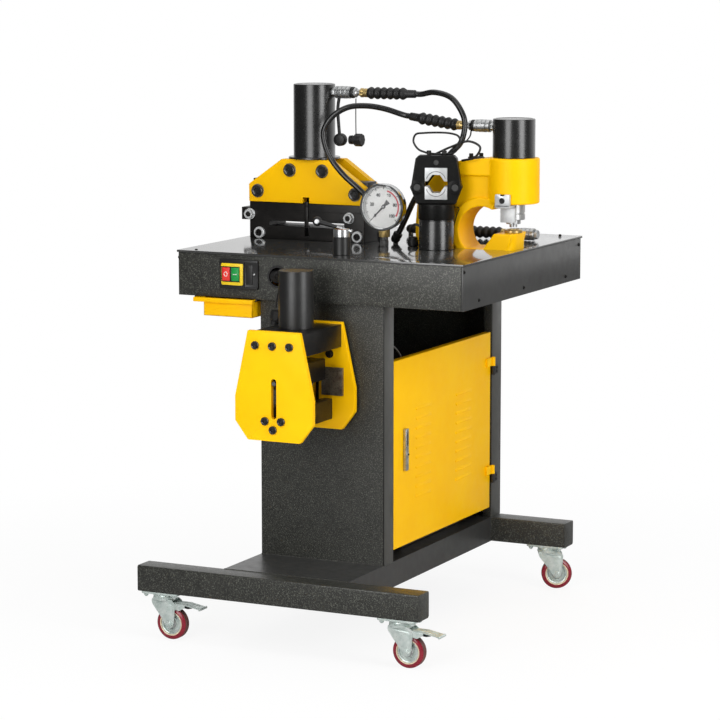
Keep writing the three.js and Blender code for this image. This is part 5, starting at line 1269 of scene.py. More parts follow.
def washer(bm, at, along, radius, bore, thick):
    return revolve(bm, [(bore, 0), (radius, 0), (radius, thick * 0.7), (radius - 0.5, thick), (bore, thick)],
                   at, along, loop=True)


# %% Bender plates
BENDER_FRONT = (-209, -197)
BENDER_REAR = (0, 12)
bender_outline = [(65, 729.5), (97, 580.5), (97, 525.5), (65, 483.5)]
bender_outline += [(-x, z) for x, z in reversed(bender_outline)]
bender_outline = [(bender_x + x, z) for x, z in bender_outline]


def bender_plate(y):
    plate = slab(blank(), rounded(bender_outline, 2.5, 3), "y", *y, 1.1, 3)
    slot = arc((bender_x, 617), 6.8, 0, 180, 10) + arc((bender_x, 540), 6.8, 180, 360, 10)
    return combine(plate, slab(blank(), slot, "y", y[0] - 5, y[1] + 5, 0))


for side, y in (("front", BENDER_FRONT), ("rear", BENDER_REAR)):
    make(f"bender_plate_{side}", bender_plate(y), yellow_enamel, [f"bender_{side}_plate"], crease=40)
BENDER_BOLTS = ((-45, 697), (-2.5, 697), (40, 697), (-21.5, 528), (19, 529), (-1.5, 509))
bolts = blank()
for x, z in BENDER_BOLTS:
    cap_screw(bolts, (bender_x + x, BENDER_FRONT[0] + 0.3, z), FRONT, 9.4, 5.4)
make("bender_bolts", bolts, gloss_black, ["bender_front_plate"])
print("bender", BENDER_REAR[1] - BENDER_FRONT[0], "mm deep")

# %% [markdown]
# Behind the rear plate two spacers hold the tool off the column. In front of it two pads guide the
# bar, which has rubbed their paint away.

# %% Spacers, wear pads and the bolts behind
behind = blank()
for x in (-24, 20):
    block(behind, (x - 9, 11, 488.5), (x + 9, 23.5, 724.5), 1)
make("bender_spacers", behind, satin_black, ["bender_rear_plate"])
pads = blank()
for x0, x1 in ((-72, -19), (15, 68)):
    block(pads, (x0, -8, 561.5), (x1, 0.2, 625.5), 0.8)
make("bender_wear_pads", pads, worn_steel, ["bender_rear_plate"])
inner = blank()
for x in (-30, 32):
    washer(inner, (x, 0, 656), FRONT, 10, 4, 1.4)
    revolve(inner, [(8.4, 1.4, 6), (8.4, 6.4, 6), (7, 7.4), (0, 7.5)], (x, 0, 656), FRONT, 36)
make("bender_hex_bolts", inner, black_oxide, ["bender_rear_plate"])
print("spacers and pads")

# %% [markdown]
# A big cylinder is seen against the light on both edges, so it gets twice the lines of a bolt. The
# crosshead under it is a block with the ram's rod, and the guide pin shows in the plates' slots.

# %% Head block, cylinder and ram
FINE_STEPS = 96
GAP_Y = (BENDER_FRONT[1], BENDER_REAR[0])
head = block(blank(), (bender_x - 64.5, GAP_Y[0], 673), (bender_x + 64.5, GAP_Y[1], 725), 1.4, 3)
make("bender_head", head, black_oxide, ["bender_head_block"])
BARREL = [(37, 725.3), (39.4, 725.8), (39.4, 853.6), (38.8, 854.8), (37.2, 855.3), (34, 855.3),
          (33.4, 854.5), (0, 854.5)]
cylinder = revolve(blank(), BARREL, (bender_x, bender_y, 0), UP, FINE_STEPS)
make("bender_barrel", cylinder, honed_black, ["bender_cylinder"])
cross = blank()
block(cross, (bender_x - 28, -196, 597.5), (bender_x + 28, -9, 645.5), 1.6, 3)
revolve(cross, [(18, 640), (18, 726)], (bender_x, bender_y, 0), UP, 64)
make("bender_crosshead", cross, black_oxide, ["bender_ram"], "bender_ram")
guide = revolve(blank(), [(4, -209), (5.1, -208), (5.1, 11), (4, 12)], (bender_x, 0, 612.5), BACK, 36)
make("bender_guide_pin", guide, dark_steel, ["bender_ram"], "bender_ram")
print("ram", 36, "mm thick in a barrel of", round(2 * BARREL[1][0], 1), "mm")

# %% [markdown]
# The nose and the anvil are plain bars whose sections are drawn from the front, with the bending
# edges eased more than the rest. A dust cap hangs by its wire from the bender's coupler.

# %% Nose, anvil and dust cap
nose = [(-15, 597.5), (-6, 575.5), (6, 575.5), (15, 597.5)]
nose = rounded([(bender_x + x, z) for x, z in nose], [0, 4, 4, 0], 5)
make("bender_nose_bar", slab(blank(), nose, "y", -157.6, -39.4, 0.8), bright_steel, ["bender_nose"],
     "bender_ram")
anvil = [(-41, 506.5), (41, 506.5), (41, 553.5), (16, 553.5), (0, 523.5), (-16, 553.5), (-41, 553.5)]
anvil = rounded([(bender_x + x, z) for x, z in anvil], [1.5, 1.5, 1.5, 3, 3, 3, 1.5], 4)
make("bender_anvil_block", slab(blank(), anvil, "y", *GAP_Y, 0.9), black_oxide, ["bender_anvil"])
HANG_POINTS = [(-44, -60, 832), (-62, -54, 815), (-76, -47, 788), (-81, -45, 760)]
HANG_CAP = [(5, -8), (10, -7), (10.6, 2), (9, 3), (9, 6), (13.4, 7, 8), (13.4, 24, 8), (11.8, 25.6, 8),
            (5, 25.6)]
hang = sweep(blank(), smooth_path(HANG_POINTS, 6), 1.6, 10)
revolve(hang, HANG_CAP, (-84, -45, 728), (0.2, 0, 1))
make("bender_dust_cap", hang, soft_rubber)
print("the plates stand", GAP_Y[1] - GAP_Y[0], "mm apart")

# %% [markdown]
# ## Cutter
# A portal of two thick yellow cheeks stands on a black base that is sawn open for the bar. The big
# screws sit on bright washers, and the low ones and the clamp nuts were left unpainted.

# %% Cutter cheeks
CUTTER_X = -188
CUTTER_Y = 361
CUTTER_AXIS = (CUTTER_X, CUTTER_Y, 0)
CHEEK_LOW = TABLE + 89
CHEEK_RISE = 104.5
CHEEK_TOP = CHEEK_LOW + CHEEK_RISE
CHEEKS = {"front": ((315, 337), "cutter_front_plate"), "rear": ((385, 407), "cutter_rear_plate")}
cheek = [(-154, CHEEK_LOW), (154, CHEEK_LOW), (154, CHEEK_LOW + 42), (65, CHEEK_TOP), (-65, CHEEK_TOP),
         (-154, CHEEK_LOW + 42)]
cheek = rounded([(CUTTER_X + x, z) for x, z in cheek], 2.5, 3)
CHEEK_BOLTS = [(-43.3, CHEEK_LOW + 78.4), (43.3, CHEEK_LOW + 78.4), (-130, CHEEK_LOW + 26.1),
               (130, CHEEK_LOW + 26.1)]
for side, (y, node) in CHEEKS.items():
    plate = slab(blank(), cheek, "y", *y, 1.3, 3)
    notch = block(blank(), (CUTTER_X - 9, y[0] - 5, CHEEK_LOW - 5),
                  (CUTTER_X + 9, y[1] + 5, CHEEK_LOW + 14.5), 0)
    make(f"cutter_cheek_{side}", combine(plate, notch), yellow_enamel, [node], crease=40)
    face, way = (y[0], FRONT) if side == "front" else (y[1], BACK)
    rings, heads = blank(), blank()
    for x, z in CHEEK_BOLTS:
        washer(rings, (CUTTER_X + x, face, z), way, 16.4, 8, 2)
        cap_screw(heads, (CUTTER_X + x, face + way[1] * 1.9, z), way, 14.2, 6.1)
    make(f"cutter_washers_{side}", rings, worn_steel, [node])
    make(f"cutter_screws_{side}", heads, gloss_black, [node])
print(len(CHEEK_BOLTS), "bolts through the cheeks")

# %% [markdown]
# The base is one block with everything milled out of it: the slot for the bar, a well for the
# blades, a keyway for the guide key, a bore for the ram's rod and a shallow seam across its face.

# %% Cutter base
BASE_Y = (318, 404)
BASE_HALF = 154
SLOT_HALF = 100
SLOT_Z = (TABLE + 32, TABLE + 44)
WELL_TOP = CHEEK_LOW + 10
base_left, base_right = CUTTER_X - BASE_HALF, CUTTER_X + BASE_HALF
slot_left, slot_right = CUTTER_X - SLOT_HALF, CUTTER_X + SLOT_HALF
base = block(blank(), (base_left, BASE_Y[0], TABLE), (base_right, BASE_Y[1], CHEEK_LOW - FIT), 1.4, 3)
bar_slot = block(blank(), (slot_left, 300, SLOT_Z[0]), (slot_right, 420, SLOT_Z[1]), 0.8)
blade_well = block(blank(), (slot_left, 348, SLOT_Z[0] - 22), (slot_right, 374, WELL_TOP), 0)
key_slot = block(blank(), (CUTTER_X - 5.5, 300, SLOT_Z[0] - 23), (CUTTER_X + 5.5, 350, WELL_TOP), 0)
seam = block(blank(), (base_left - 6, 310, TABLE + 68.6), (base_right + 6, 319, TABLE + 69.8), 0)
rod_well = revolve(blank(), [(21, TABLE + 76.5), (21, WELL_TOP)], CUTTER_AXIS, UP, 64)
for cut in (bar_slot, blade_well, key_slot, rod_well, seam):
    base = combine(base, cut)
for x0, x1 in ((base_left, CUTTER_X - 102), (CUTTER_X + 102, base_right)):
    block(base, (x0, 337.3, CHEEK_LOW - 0.6), (x1, 384.7, CHEEK_LOW + 54), 1.2)
make("cutter_base_block", base, black_oxide, ["cutter_base"], crease=40)
clamp = block(blank(), (CUTTER_X - 176, BASE_Y[0], SLOT_Z[1]), (CUTTER_X - 153, 361, TABLE + 74), 1.2)
make("cutter_clamp_block", clamp, black_oxide, ["cutter_base"])
print("cutter bar slot", round(SLOT_Z[1] - SLOT_Z[0]), "mm high")

# %% Bright nuts and low screws
NUT = [(10.6, 1.6), (11.9, 3, 6), (11.9, 10.4, 6), (10.4, 11.6), (7.2, 11.6), (6.4, 11), (6.4, 5), (0, 5)]
COLLAR = [(6, 0), (13.4, 0), (13.8, 1), (13.8, 6.4), (12.6, 7.8), (7.4, 7.8), (6.8, 7), (6.8, 3)]
nuts, studs = blank(), blank()
for x in (-153, 114):
    at = (CUTTER_X + x, BASE_Y[0], TABLE + 58)
    washer(nuts, at, FRONT, 13.4, 6, 1.8)
    revolve(nuts, NUT, at, FRONT)
    revolve(studs, [(6, 0), (6, 11.4), (5.2, 12.2), (0, 12.2)], at, FRONT, 36)
for x in (-126, 137):
    revolve(nuts, COLLAR, (CUTTER_X + x, BASE_Y[0], TABLE + 14.4), FRONT)
    cap_screw(studs, (CUTTER_X + x, BASE_Y[0] - 1.4, TABLE + 14.4), FRONT, 8.6, 8.4)
make("cutter_nuts", nuts, ground_steel, ["cutter_base"])
make("cutter_low_screws", studs, black_oxide, ["cutter_base"])
print("two nuts and two collared screws")

# %% [markdown]
# The upper blade's edge is slanted, so that it shears the bar bit by bit as scissors do. It hangs in
# the holder on the ram, and the whole group moves down together.

# %% Blades and ram
BLADE_HALF = 98.8
BLADE_Y = (349, 361, 373)
left, right = CUTTER_X - BLADE_HALF, CUTTER_X + BLADE_HALF
low_blade = block(blank(), (left, 361.4, SLOT_Z[0] - 21.6), (right, BLADE_Y[2], SLOT_Z[0]), 0.4)
make("cutter_blade_low", low_blade, bright_steel, ["cutter_lower_blade"])
edge_z = SLOT_Z[1] + 1
top_blade = [(left, edge_z), (right, edge_z + 10), (right, edge_z + 34), (left, edge_z + 34)]
top_blade = slab(blank(), top_blade, "y", *BLADE_Y[:2], 0.4)
make("cutter_blade_top", top_blade, bright_steel, ["cutter_upper_blade"], "cutter_ram")
ram = blank()
block(ram, (left, BLADE_Y[0], edge_z + 34), (right, BLADE_Y[2], edge_z + 56), 0.8)
block(ram, (CUTTER_X - 4.5, 315, edge_z + 34), (CUTTER_X + 4.5, 350, edge_z + 47.4), 0.5)
block(ram, (CUTTER_X - 4.5, 315, SLOT_Z[0]), (CUTTER_X + 4.5, 321, edge_z + 35), 0.5)
revolve(ram, [(20, edge_z + 55), (20, 1095)], CUTTER_AXIS, UP, 64)
make("cutter_holder", ram, black_oxide, ["cutter_ram"], "cutter_ram")
print("blades", 2 * BLADE_HALF, "mm long")

# %% Cutter cylinder
flange = [(24, 30 - CHEEK_RISE), (23.7, FIT), (60.5, FIT), (62, 1.4), (62, 4.4), (61, 5.3), (50.6, 5.3),
          (50, 6.4)]
crown = [(50, 1244.6), (49.4, 1246.2), (47.6, 1247), (45, 1247), (44.2, 1246.2), (0, 1246.2)]
barrel = revolve(blank(), lifted(flange, CHEEK_TOP) + crown, CUTTER_AXIS, UP, FINE_STEPS)
revolve(barrel, [(13, 0), (13, 3.2), (11.8, 3.8)], (CUTTER_X + 47, CUTTER_Y, cutter_port.z), RIGHT, 36)
make("cutter_barrel", barrel, gloss_black, ["cutter_cylinder"])
print("cutter barrel to", crown[2][1], "mm")

# %% [markdown]
# ## Punch
# The punch frame is an iron casting, which has no sharp inside corners. They are made soft in the
# foundry's own way: simple forms are put together as a pattern, then melted into one skin with a fine
# remesh and smoothed a little. Bores are cut afterwards, so that they stay crisp.

# %% The throat's outline
PUNCH_X = 329
PUNCH_Y = 363.5
PUNCH_AXIS = (PUNCH_X, PUNCH_Y, 0)
BOSS_LOW = TABLE + 106.5
BOSS_TOP = BOSS_LOW + 106
JAW_TOP = TABLE + 37.5
THROAT = (PUNCH_X - 63, TABLE + 42.5)
THROAT_RADIUS = 57
PUNCH_LOW = TABLE - 69
bow = [(x, max(z, TABLE + 1)) for x, z in arc(THROAT, THROAT_RADIUS, 261, 60, 40)]
punch_outline = [(197, PUNCH_LOW), (346, PUNCH_LOW), (346, JAW_TOP), (299, JAW_TOP), (272, TABLE + 1), *bow,
                 (300, BOSS_LOW), (PUNCH_X, BOSS_LOW + 1), (PUNCH_X, BOSS_TOP - 1), (275, BOSS_TOP - 1),
                 (206, BOSS_TOP - 9), (206, BOSS_TOP - 42), (197, BOSS_LOW - 21)]
print("outline with", len(punch_outline), "points")

# %% The pattern: a web, raised rims and the boss
RIM_HALF = 45.5
WEB_HALF = 38.5
SPINE_HALF = 13.5
web_outline = [(x - 14 if x == 346 else x, z) for x, z in punch_outline]
pattern = slab(blank(), web_outline, "y", PUNCH_Y - WEB_HALF, PUNCH_Y + WEB_HALF, 0)
spine = [(84, TABLE + FIT), (198, TABLE + FIT), (198, BOSS_LOW - 21), (208, BOSS_TOP - 42),
         (208, BOSS_TOP - 18), (97, BOSS_TOP - 21), (84, TABLE + 50)]
spine = slab(blank(), spine, "y", PUNCH_Y - SPINE_HALF, PUNCH_Y + SPINE_HALF, 0)
pattern = combine(pattern, spine, "UNION")
whole = (PUNCH_Y - RIM_HALF, PUNCH_Y + RIM_HALF)
rim_disc = slab(blank(), arc(THROAT, THROAT_RADIUS + 20, 0, 354, 59), "y", *whole, 0)
top_band = block(blank(), (150, whole[0], BOSS_TOP - 42), (PUNCH_X, whole[1], BOSS_TOP + 5), 0)
jaw_plan = rectangle((255, 346), (whole[0] - 3, whole[1] + 3))
jaw_plan = rounded(jaw_plan, [0, 34, 34, 0], 10)
jaw_band = slab(blank(), jaw_plan, "z", PUNCH_LOW - 5, JAW_TOP + 5, 0)
for band in (rim_disc, top_band, jaw_band):
    solid = slab(blank(), punch_outline, "y", *whole, 0)
    pattern = combine(pattern, combine(solid, band, "INTERSECT"), "UNION")
boss = revolve(blank(), [(57.5, BOSS_LOW), (60.3, BOSS_LOW + 3), (60.3, BOSS_TOP - 2), (58.5, BOSS_TOP)],
               PUNCH_AXIS, UP, FINE_STEPS)
pattern = combine(pattern, boss, "UNION")
casting = cast(pattern, 1.6, 9)
for radius, low, high, steps in ((28, BOSS_LOW, BOSS_TOP, 48), (10, PUNCH_LOW, JAW_TOP, 32)):
    bore = revolve(blank(), [(radius, low - 20), (radius, high + 20)], PUNCH_AXIS, UP, steps)
    casting = combine(casting, bore)
make("punch_casting", casting, yellow_enamel, ["punch_frame"], crease=50)
print("punch throat", 2 * THROAT_RADIUS, "mm")

# %% Punch cylinder, ram and die
PUNCH_BARREL = [(28, FIT), (48.4, FIT), (49.5, 1.3), (49.5, 87.6), (48.8, 89.4), (47, 90.3), (44, 90.3),
                (43.2, 89.4), (0, 89.4)]
PLUNGER = [(0, -8), (8.6, -8), (9, -7.6), (9, -1), (17, 0), (17, 9), (26, 10), (27, 11.4), (27, 23),
           (25.4, 24), (25.4, 26.4), (27, 27.4)]
DIE = [(9.3, FIT), (20.4, FIT), (21, 1), (21, 5.8), (20, 7), (14, 7.4), (13.4, 8.8), (10, 8.8), (9.3, 8)]
RAM_LOW = BOSS_LOW - 48
barrel = revolve(blank(), lifted(PUNCH_BARREL, BOSS_TOP), PUNCH_AXIS, UP, FINE_STEPS)
revolve(barrel, [(12.6, 0), (12.6, 3.2), (11.4, 3.8)], (PUNCH_X - 46.4, PUNCH_Y, punch_port.z), LEFT, 36)
make("punch_barrel", barrel, gloss_black, ["punch_cylinder"])
plunger = [*lifted(PLUNGER, RAM_LOW), (27, BOSS_TOP + 16), (0, BOSS_TOP + 16)]
make("punch_plunger", revolve(blank(), plunger, PUNCH_AXIS, UP, 72), bright_steel, ["punch_ram"],
     "punch_ram")
die = lifted(DIE, JAW_TOP)
make("punch_die_ring", revolve(blank(), die, PUNCH_AXIS, UP, 72, loop=True), brass, ["punch_die"])
print("punch opens", round(RAM_LOW - 8 - JAW_TOP), "mm over its seat")

# %% [markdown]
# The stripper holds the bar down while the punch is drawn out of it. It is bent from one strip: a
# face with a notch and a screw, a shelf back to the ram, and a tongue down beside the punch.

# %% Stripper
STRIP_X = (310.5, 347.5)
STRIP_Z = (977, 1006)
FACE_Y = (PUNCH_Y - 67.8, PUNCH_Y - 60.8)
NOTCH_X = (324, 334)
(x0, x1), (z0, z1), (n0, n1) = STRIP_X, STRIP_Z, NOTCH_X
notched = [(x0, z0), (x1, z0), (x1, z1), (n1, z1), (n1, 1001.5), (n0, 1001.5), (n0, z1), (x0, z1)]
notched = rounded(notched, [3, 3, 2.4, 1, 1, 1, 1, 2.4], 3)
strip = slab(blank(), notched, "y", *FACE_Y, 0.9)
shelf = rounded([(FACE_Y[0], 980), (FACE_Y[0], 973.4), (335.5, 973), (335.5, 980)], [0, 3, 2, 0], 3)
slab(strip, shelf, "x", *STRIP_X, 0.8)
block(strip, (x0, 328.5, 938), (x1, 335.5, 980), 1)
make("punch_stripper_plate", strip, ground_steel, ["punch_stripper"])
stripper_screw = cap_screw(blank(), (PUNCH_X, FACE_Y[0], 991.5), FRONT, 6.6, 2.2)
make("punch_stripper_screw", stripper_screw, black_oxide, ["punch_stripper"])
print("stripper", x1 - x0, "mm wide")

# %% Arm cap, its screws and a chain
ARM_CAP = [(19, 0), (19.6, 0.8), (19.6, 3), (17, 4.4), (8, 5.4), (0, 5.6)]
arm_top = revolve(blank(), ARM_CAP, (234, PUNCH_Y, BOSS_TOP - 5))
for x, y in ((226, 352), (242, 374)):
    cap_screw(arm_top, (x, y, BOSS_TOP - 1), UP, 5, 8)
make("punch_arm_cap", arm_top, black_oxide, ["punch_frame"])
CHAIN = [(196, 316.5, 968), (204, 315.5, 971), (212, 315.5, 967.5), (207.4, 315.5, 955.9),
         (203.2, 315.5, 942.4), (198.6, 316, 926.8)]
make("punch_cap_chain", sweep(blank(), smooth_path(CHAIN, 6), 1.1, 8), black_oxide)
print("chain through", len(CHAIN), "points")

# %% [markdown]
# ## Crimping head
# A short cylinder carries a forged head that looks twenty degrees to the right. Its thick, rounded
# lugs are melted from a pattern, as the punch frame is, and the window is cut after that.

# %% Crimping cylinder
CRIMP = Vector((171.5, 277.5, 0))
CRIMP_TURN = Matrix.Translation(CRIMP) @ Matrix.Rotation(math.radians(20), 4, "Z")
CRIMP_TOP = TABLE + 106.3
HEAD_LOW = CRIMP_TOP + FIT
CRIMP_FLOOR = HEAD_LOW + 10
LUG_Z = HEAD_LOW + 38
HEAD_TOP = HEAD_LOW + 112
COLLAR_LOW = CRIMP_TOP - 36.4
crimp_barrel = [(39, TABLE + FIT), (40.5, TABLE + 1.2), (40.5, CRIMP_TOP - 39), (39.9, CRIMP_TOP - 38),
                (39, CRIMP_TOP - 37.6), (39, COLLAR_LOW)]
crimp_barrel = revolve(blank(), crimp_barrel, steps=FINE_STEPS)
make("crimp_barrel", placed(crimp_barrel, CRIMP_TURN), gloss_black, ["crimp_cylinder"])
collar = [(39, COLLAR_LOW), (41.4, CRIMP_TOP - 36), (42, CRIMP_TOP - 35), (42, CRIMP_TOP - 1),
          (41, CRIMP_TOP), (15.5, CRIMP_TOP)]
collar = revolve(blank(), collar, steps=FINE_STEPS)
make("crimp_collar", placed(collar, CRIMP_TURN), forged_black, ["crimp_cylinder"])
print("crimping cylinder", round(CRIMP_TOP - TABLE), "mm high")

# %% Forged head
FORGING_HALF = 19
WINDOW = (53, 74)
LUGS = [(side * 44, 0, LUG_Z) for side in (-1, 1)]
half = [(45.5, HEAD_LOW), (57, LUG_Z - 8), (61, LUG_Z), (57.5, LUG_Z + 7), (48, HEAD_TOP - 7),
        (41, HEAD_TOP)]
outline = half + [(-x, z) for x, z in reversed(half)]
forging = slab(blank(), outline, "y", -FORGING_HALF, FORGING_HALF, 0)
for at in LUGS:
    lug = revolve(blank(), [(14.5, -20.6), (14.5, 20.6)], at, BACK, 36)
    forging = combine(forging, lug, "UNION")
forging = cast(forging, 1.3, 5)
window = block(blank(), (-WINDOW[0] / 2, -30, CRIMP_FLOOR), (WINDOW[0] / 2, 30, CRIMP_FLOOR + WINDOW[1]), 0)
rod_hole = revolve(blank(), [(15.5, CRIMP_TOP - 5), (15.5, CRIMP_FLOOR + 5)])
forging = combine(combine(forging, window), rod_hole)
pins = blank()
for at in LUGS:
    for way in (FRONT, BACK):
        revolve(forging, [(11.6, 19), (11.4, 21.2), (10.4, 21.6), (9.4, 21.2), (9.2, 20)], at, way, 40)
        revolve(pins, [(8, 18), (8, 21.8), (7, 22.6), (0, 22.8)], at, way, 32)
make("crimp_forging", placed(forging, CRIMP_TURN), forged_black, ["crimp_head"], crease=50)
print("crimping window", *WINDOW, "mm")

# %% Pins, screw and studs
revolve(pins, [(6, 17), (6, 19.2), (5.2, 19.8), (0, 19.8)], (0, 0, HEAD_TOP - 16), FRONT, 32)
make("crimp_pins", placed(pins, CRIMP_TURN), smooth_grey, ["crimp_head"])
STUD = [(4.4, -1), (4.4, 2), (5.6, 2.4, 12), (5.6, 9, 12), (4.8, 10.6), (2.4, 10.6), (2.4, 8), (0, 8)]
studs = blank()
for side in (-1, 1):
    revolve(studs, STUD, (side * 18, 0, HEAD_TOP))
make("crimp_studs", placed(studs, CRIMP_TURN), black_oxide, ["crimp_head"])
print("two pins, a screw and two studs")

# %% [markdown]
# Each die is half of the tool that closes on the cable lug. The lower one rides up on the ram. A
# thin rod of dark steel lies on their faces round the hexagon, as a dark line.


# %% Dies
DIE_RIMS = (CRIMP_FLOOR + 30.3, CRIMP_FLOOR + 42.7)


def half_die(low, high, hex_way):
    """A block with half a hexagon in its rim; hex_way is the side that the hexagon goes into."""
    rim = low if hex_way > 0 else high
    hexagon = [(19, rim), (9.4, rim + hex_way * 15.4), (-9.4, rim + hex_way * 15.4), (-19, rim)]
    if hex_way > 0:
        plan = [(26, low), (26, high), (-26, high), (-26, low), *reversed(hexagon)]
    else:
        plan = [(-26, low), (26, low), (26, high), *hexagon, (-26, high)]
    return slab(blank(), plan, "y", -20, 20, 0.5)


def die_line(rim, hex_way):
    """A thin dark line laid on a die's faces, round its hexagon."""
    bm = blank()
    angles = (16, 164) if hex_way > 0 else (196, 344)
    for y in (-20.1, 20.1):
        sweep(bm, [(x, y, z) for x, z in arc((0, rim), 22.6, *angles)], 0.7, 8)
    return placed(bm, CRIMP_TURN)


upper = half_die(DIE_RIMS[1], CRIMP_FLOOR + 73.7, 1)
make("crimp_die_top", placed(upper, CRIMP_TURN), ground_steel, ["crimp_upper_die"])
lower = half_die(CRIMP_FLOOR + FIT, DIE_RIMS[0], -1)
revolve(lower, [(15, CRIMP_TOP - 35), (15, CRIMP_FLOOR + 1)])
make("crimp_die_low", placed(lower, CRIMP_TURN), ground_steel, ["crimp_lower_die"], "crimp_die")
make("crimp_die_top_line", die_line(DIE_RIMS[1], 1), dark_steel, ["crimp_upper_die"])
make("crimp_die_low_line", die_line(DIE_RIMS[0], -1), dark_steel, ["crimp_lower_die"], "crimp_die")
print("dies", round(DIE_RIMS[1] - DIE_RIMS[0], 1), "mm apart")

# %% [markdown]
# Two wires with their caps lie over the crimping head, where they stand out against the white wall.

# %% Wire loops of the dust caps
LOOP_A = [(139, 294, 1096), (117, 294, 1104), (104.4, 294, 1122), (110, 294, 1138), (130, 294, 1142),
          (200.2, 294, 1143), (220, 294, 1136), (223, 294, 1120), (208, 294, 1099), (168, 292, 1094.5)]
LOOP_B = [(152.7, 304, 1091.7), (195.9, 304, 1111.2), (241.7, 304, 1125.3), (269.5, 304, 1112.3),
          (257.3, 304, 1089.5), (220.7, 310, 1079.7)]
wires = blank()
sweep(wires, smooth_path([*LOOP_A, LOOP_A[0]], 10)[:-1], 2.4, 10, closed=True)
sweep(wires, smooth_path(LOOP_B, 10), 2.7, 10)
sweep(wires, smooth_path([(222, 360, 1146), (226, 345, 1135), (222, 330, 1122)], 8), 1.7, 10)
make("cap_wires", wires, soft_rubber)
print("loops of", len(LOOP_A), "and", len(LOOP_B), "points")

# %% Loose caps
STANDING_CAP = [(8, 0), (12, 1), (12.6, 3), (12.6, 15), (10.6, 16), (10.6, 21), (8.6, 22.6), (0, 22.6)]
LYING_CAP = [(9, 0), (13.4, 1.4, 8), (13.4, 14, 8), (10, 15.6, 8), (8, 16), (8, 22)]
LYING = ((118, 317, TABLE + 13.4), (0.96, 0.28, 0))
CAP_STRAP = [(108, 311, TABLE + 10), (88, 308, TABLE + 34), (102, 308, TABLE + 52), (124, 311, TABLE + 40),
             (126, 314, TABLE + 24)]
loose = revolve(blank(), STANDING_CAP, (96, 311, TABLE + 0.1))
revolve(loose, LYING_CAP, *LYING)
sweep(loose, smooth_path(CAP_STRAP, 8), 2.8, 12)
make("cap_cluster", loose, soft_rubber)
ring = [(8.2, 22), (10.4, 22.6), (10.4, 28), (8.6, 29), (6.4, 29), (6.4, 22)]
make("cap_silver_ring", revolve(blank(), ring, *LYING, loop=True), nickel)
print("two caps on a strap")

# %% [markdown]
# ## Pressure gauge
# The gauge has a polished bezel, a white dial behind glass and a needle that turns. The marks lie a
# little above the dial, and its plain numbers are text turned to mesh.

# %% Gauge case and dial
GAUGE = Vector((37, 260, TABLE + 93.5))
case = [(49.4, 13.8), (49.4, 4), (49.9, 1.4), (51.4, 0.2), (53.6, 0.2), (55.4, 1.6), (56, 4), (56, 9),
        (54.6, 10), (54, 11), (54, 25.6), (53, 27.4), (51, 28), (0, 28)]
bm = revolve(blank(), case, GAUGE, BACK, FINE_STEPS)
make("gauge_bezel", bm, chrome, ["gauge_case"])
bm = revolve(blank(), [(51.5, 13.9), (51, 13.6), (0, 13.6)], GAUGE, BACK, FINE_STEPS)
make("gauge_dial", bm, dial_white, ["gauge_case"])
STEM_Y = 278.7
nut = [(13, 0), (14.8, 1, 6), (14.8, 18, 6), (13, 19.4), (0, 19.4)]
nut = revolve(blank(), nut, (GAUGE.x, STEM_Y, TABLE + 22.5))
make("gauge_nut", nut, brass, ["gauge_case"])
stem = [(9.2, 0), (11, 0.6, 6), (11, 14, 6), (9.6, 15.6, 6), (9, 16), (9, 23)]
stem = revolve(blank(), stem, (GAUGE.x, STEM_Y, TABLE))
make("gauge_stem", stem, dark_steel, ["gauge_case"])
print("gauge", 2 * case[7][0], "mm across")


# %% Marks on the dial
DIAL_Y = 273.3
SCALE_START = 225
SCALE_SWEEP = 270
SCALE_STEPS = 50


def on_dial(radius, angle_deg, lift=0.0):
    a = math.radians(angle_deg)
    return Vector((GAUGE.x + radius * math.cos(a), DIAL_Y - lift, GAUGE.z + radius * math.sin(a)))


def dial_band(bm, inner, outer, start, end, steps=2):
    angles = [start + (end - start) * i / steps for i in range(steps + 1)]
    rows = [[bm.verts.new(on_dial(r, a)) for a in angles] for r in (inner, outer)]
    for i in range(steps):
        bm.faces.new((rows[0][i], rows[0][i + 1], rows[1][i + 1], rows[1][i]))
    return bm


marks = blank()
for i in range(SCALE_STEPS + 1):
    angle = SCALE_START - SCALE_SWEEP * i / SCALE_STEPS
    major = i % 5 == 0
    half = 1.4 if major else 0.6
    dial_band(marks, 41.5 if major else 44, 47.4, angle - half, angle + half)
dial_band(marks, 46.9, 47.7, SCALE_START, SCALE_START - SCALE_SWEEP, 90)
dial_band(marks, 3.4, 5.2, 0, 360, 40)
make("gauge_marks", marks, dial_ink, ["gauge_case"])
red_zone = dial_band(blank(), 36.6, 40.4, 76, -34, 60)
make("gauge_red_zone", red_zone, dial_red, ["gauge_case"])
print("dial with", SCALE_STEPS, "divisions")

# %% Numbers on the dial
for i in range(6):
    letters = bpy.data.curves.new(f"number_{20 * i}", "FONT")
    letters.body = str(20 * i)
    letters.size = 10.5 * MM
    letters.offset = 0.45 * MM
    letters.align_x = "CENTER"
    letters.align_y = "CENTER"
    letters.extrude = 0.05 * MM
    text = add(f"number_{20 * i}", letters)
    mesh = bpy.data.meshes.new_from_object(text)
    bpy.data.objects.remove(text)
    place = metres(on_dial(30, SCALE_START - SCALE_SWEEP * i / 5, 0.1))
    mesh.transform(Matrix.Translation(place) @ Matrix.Rotation(math.radians(90), 4, "X"))
    mesh.materials.clear()
    dress(add(f"gauge_number_{20 * i}", mesh), dial_ink, "bench", ["gauge_case"])
print("numbers up to", 20 * i)

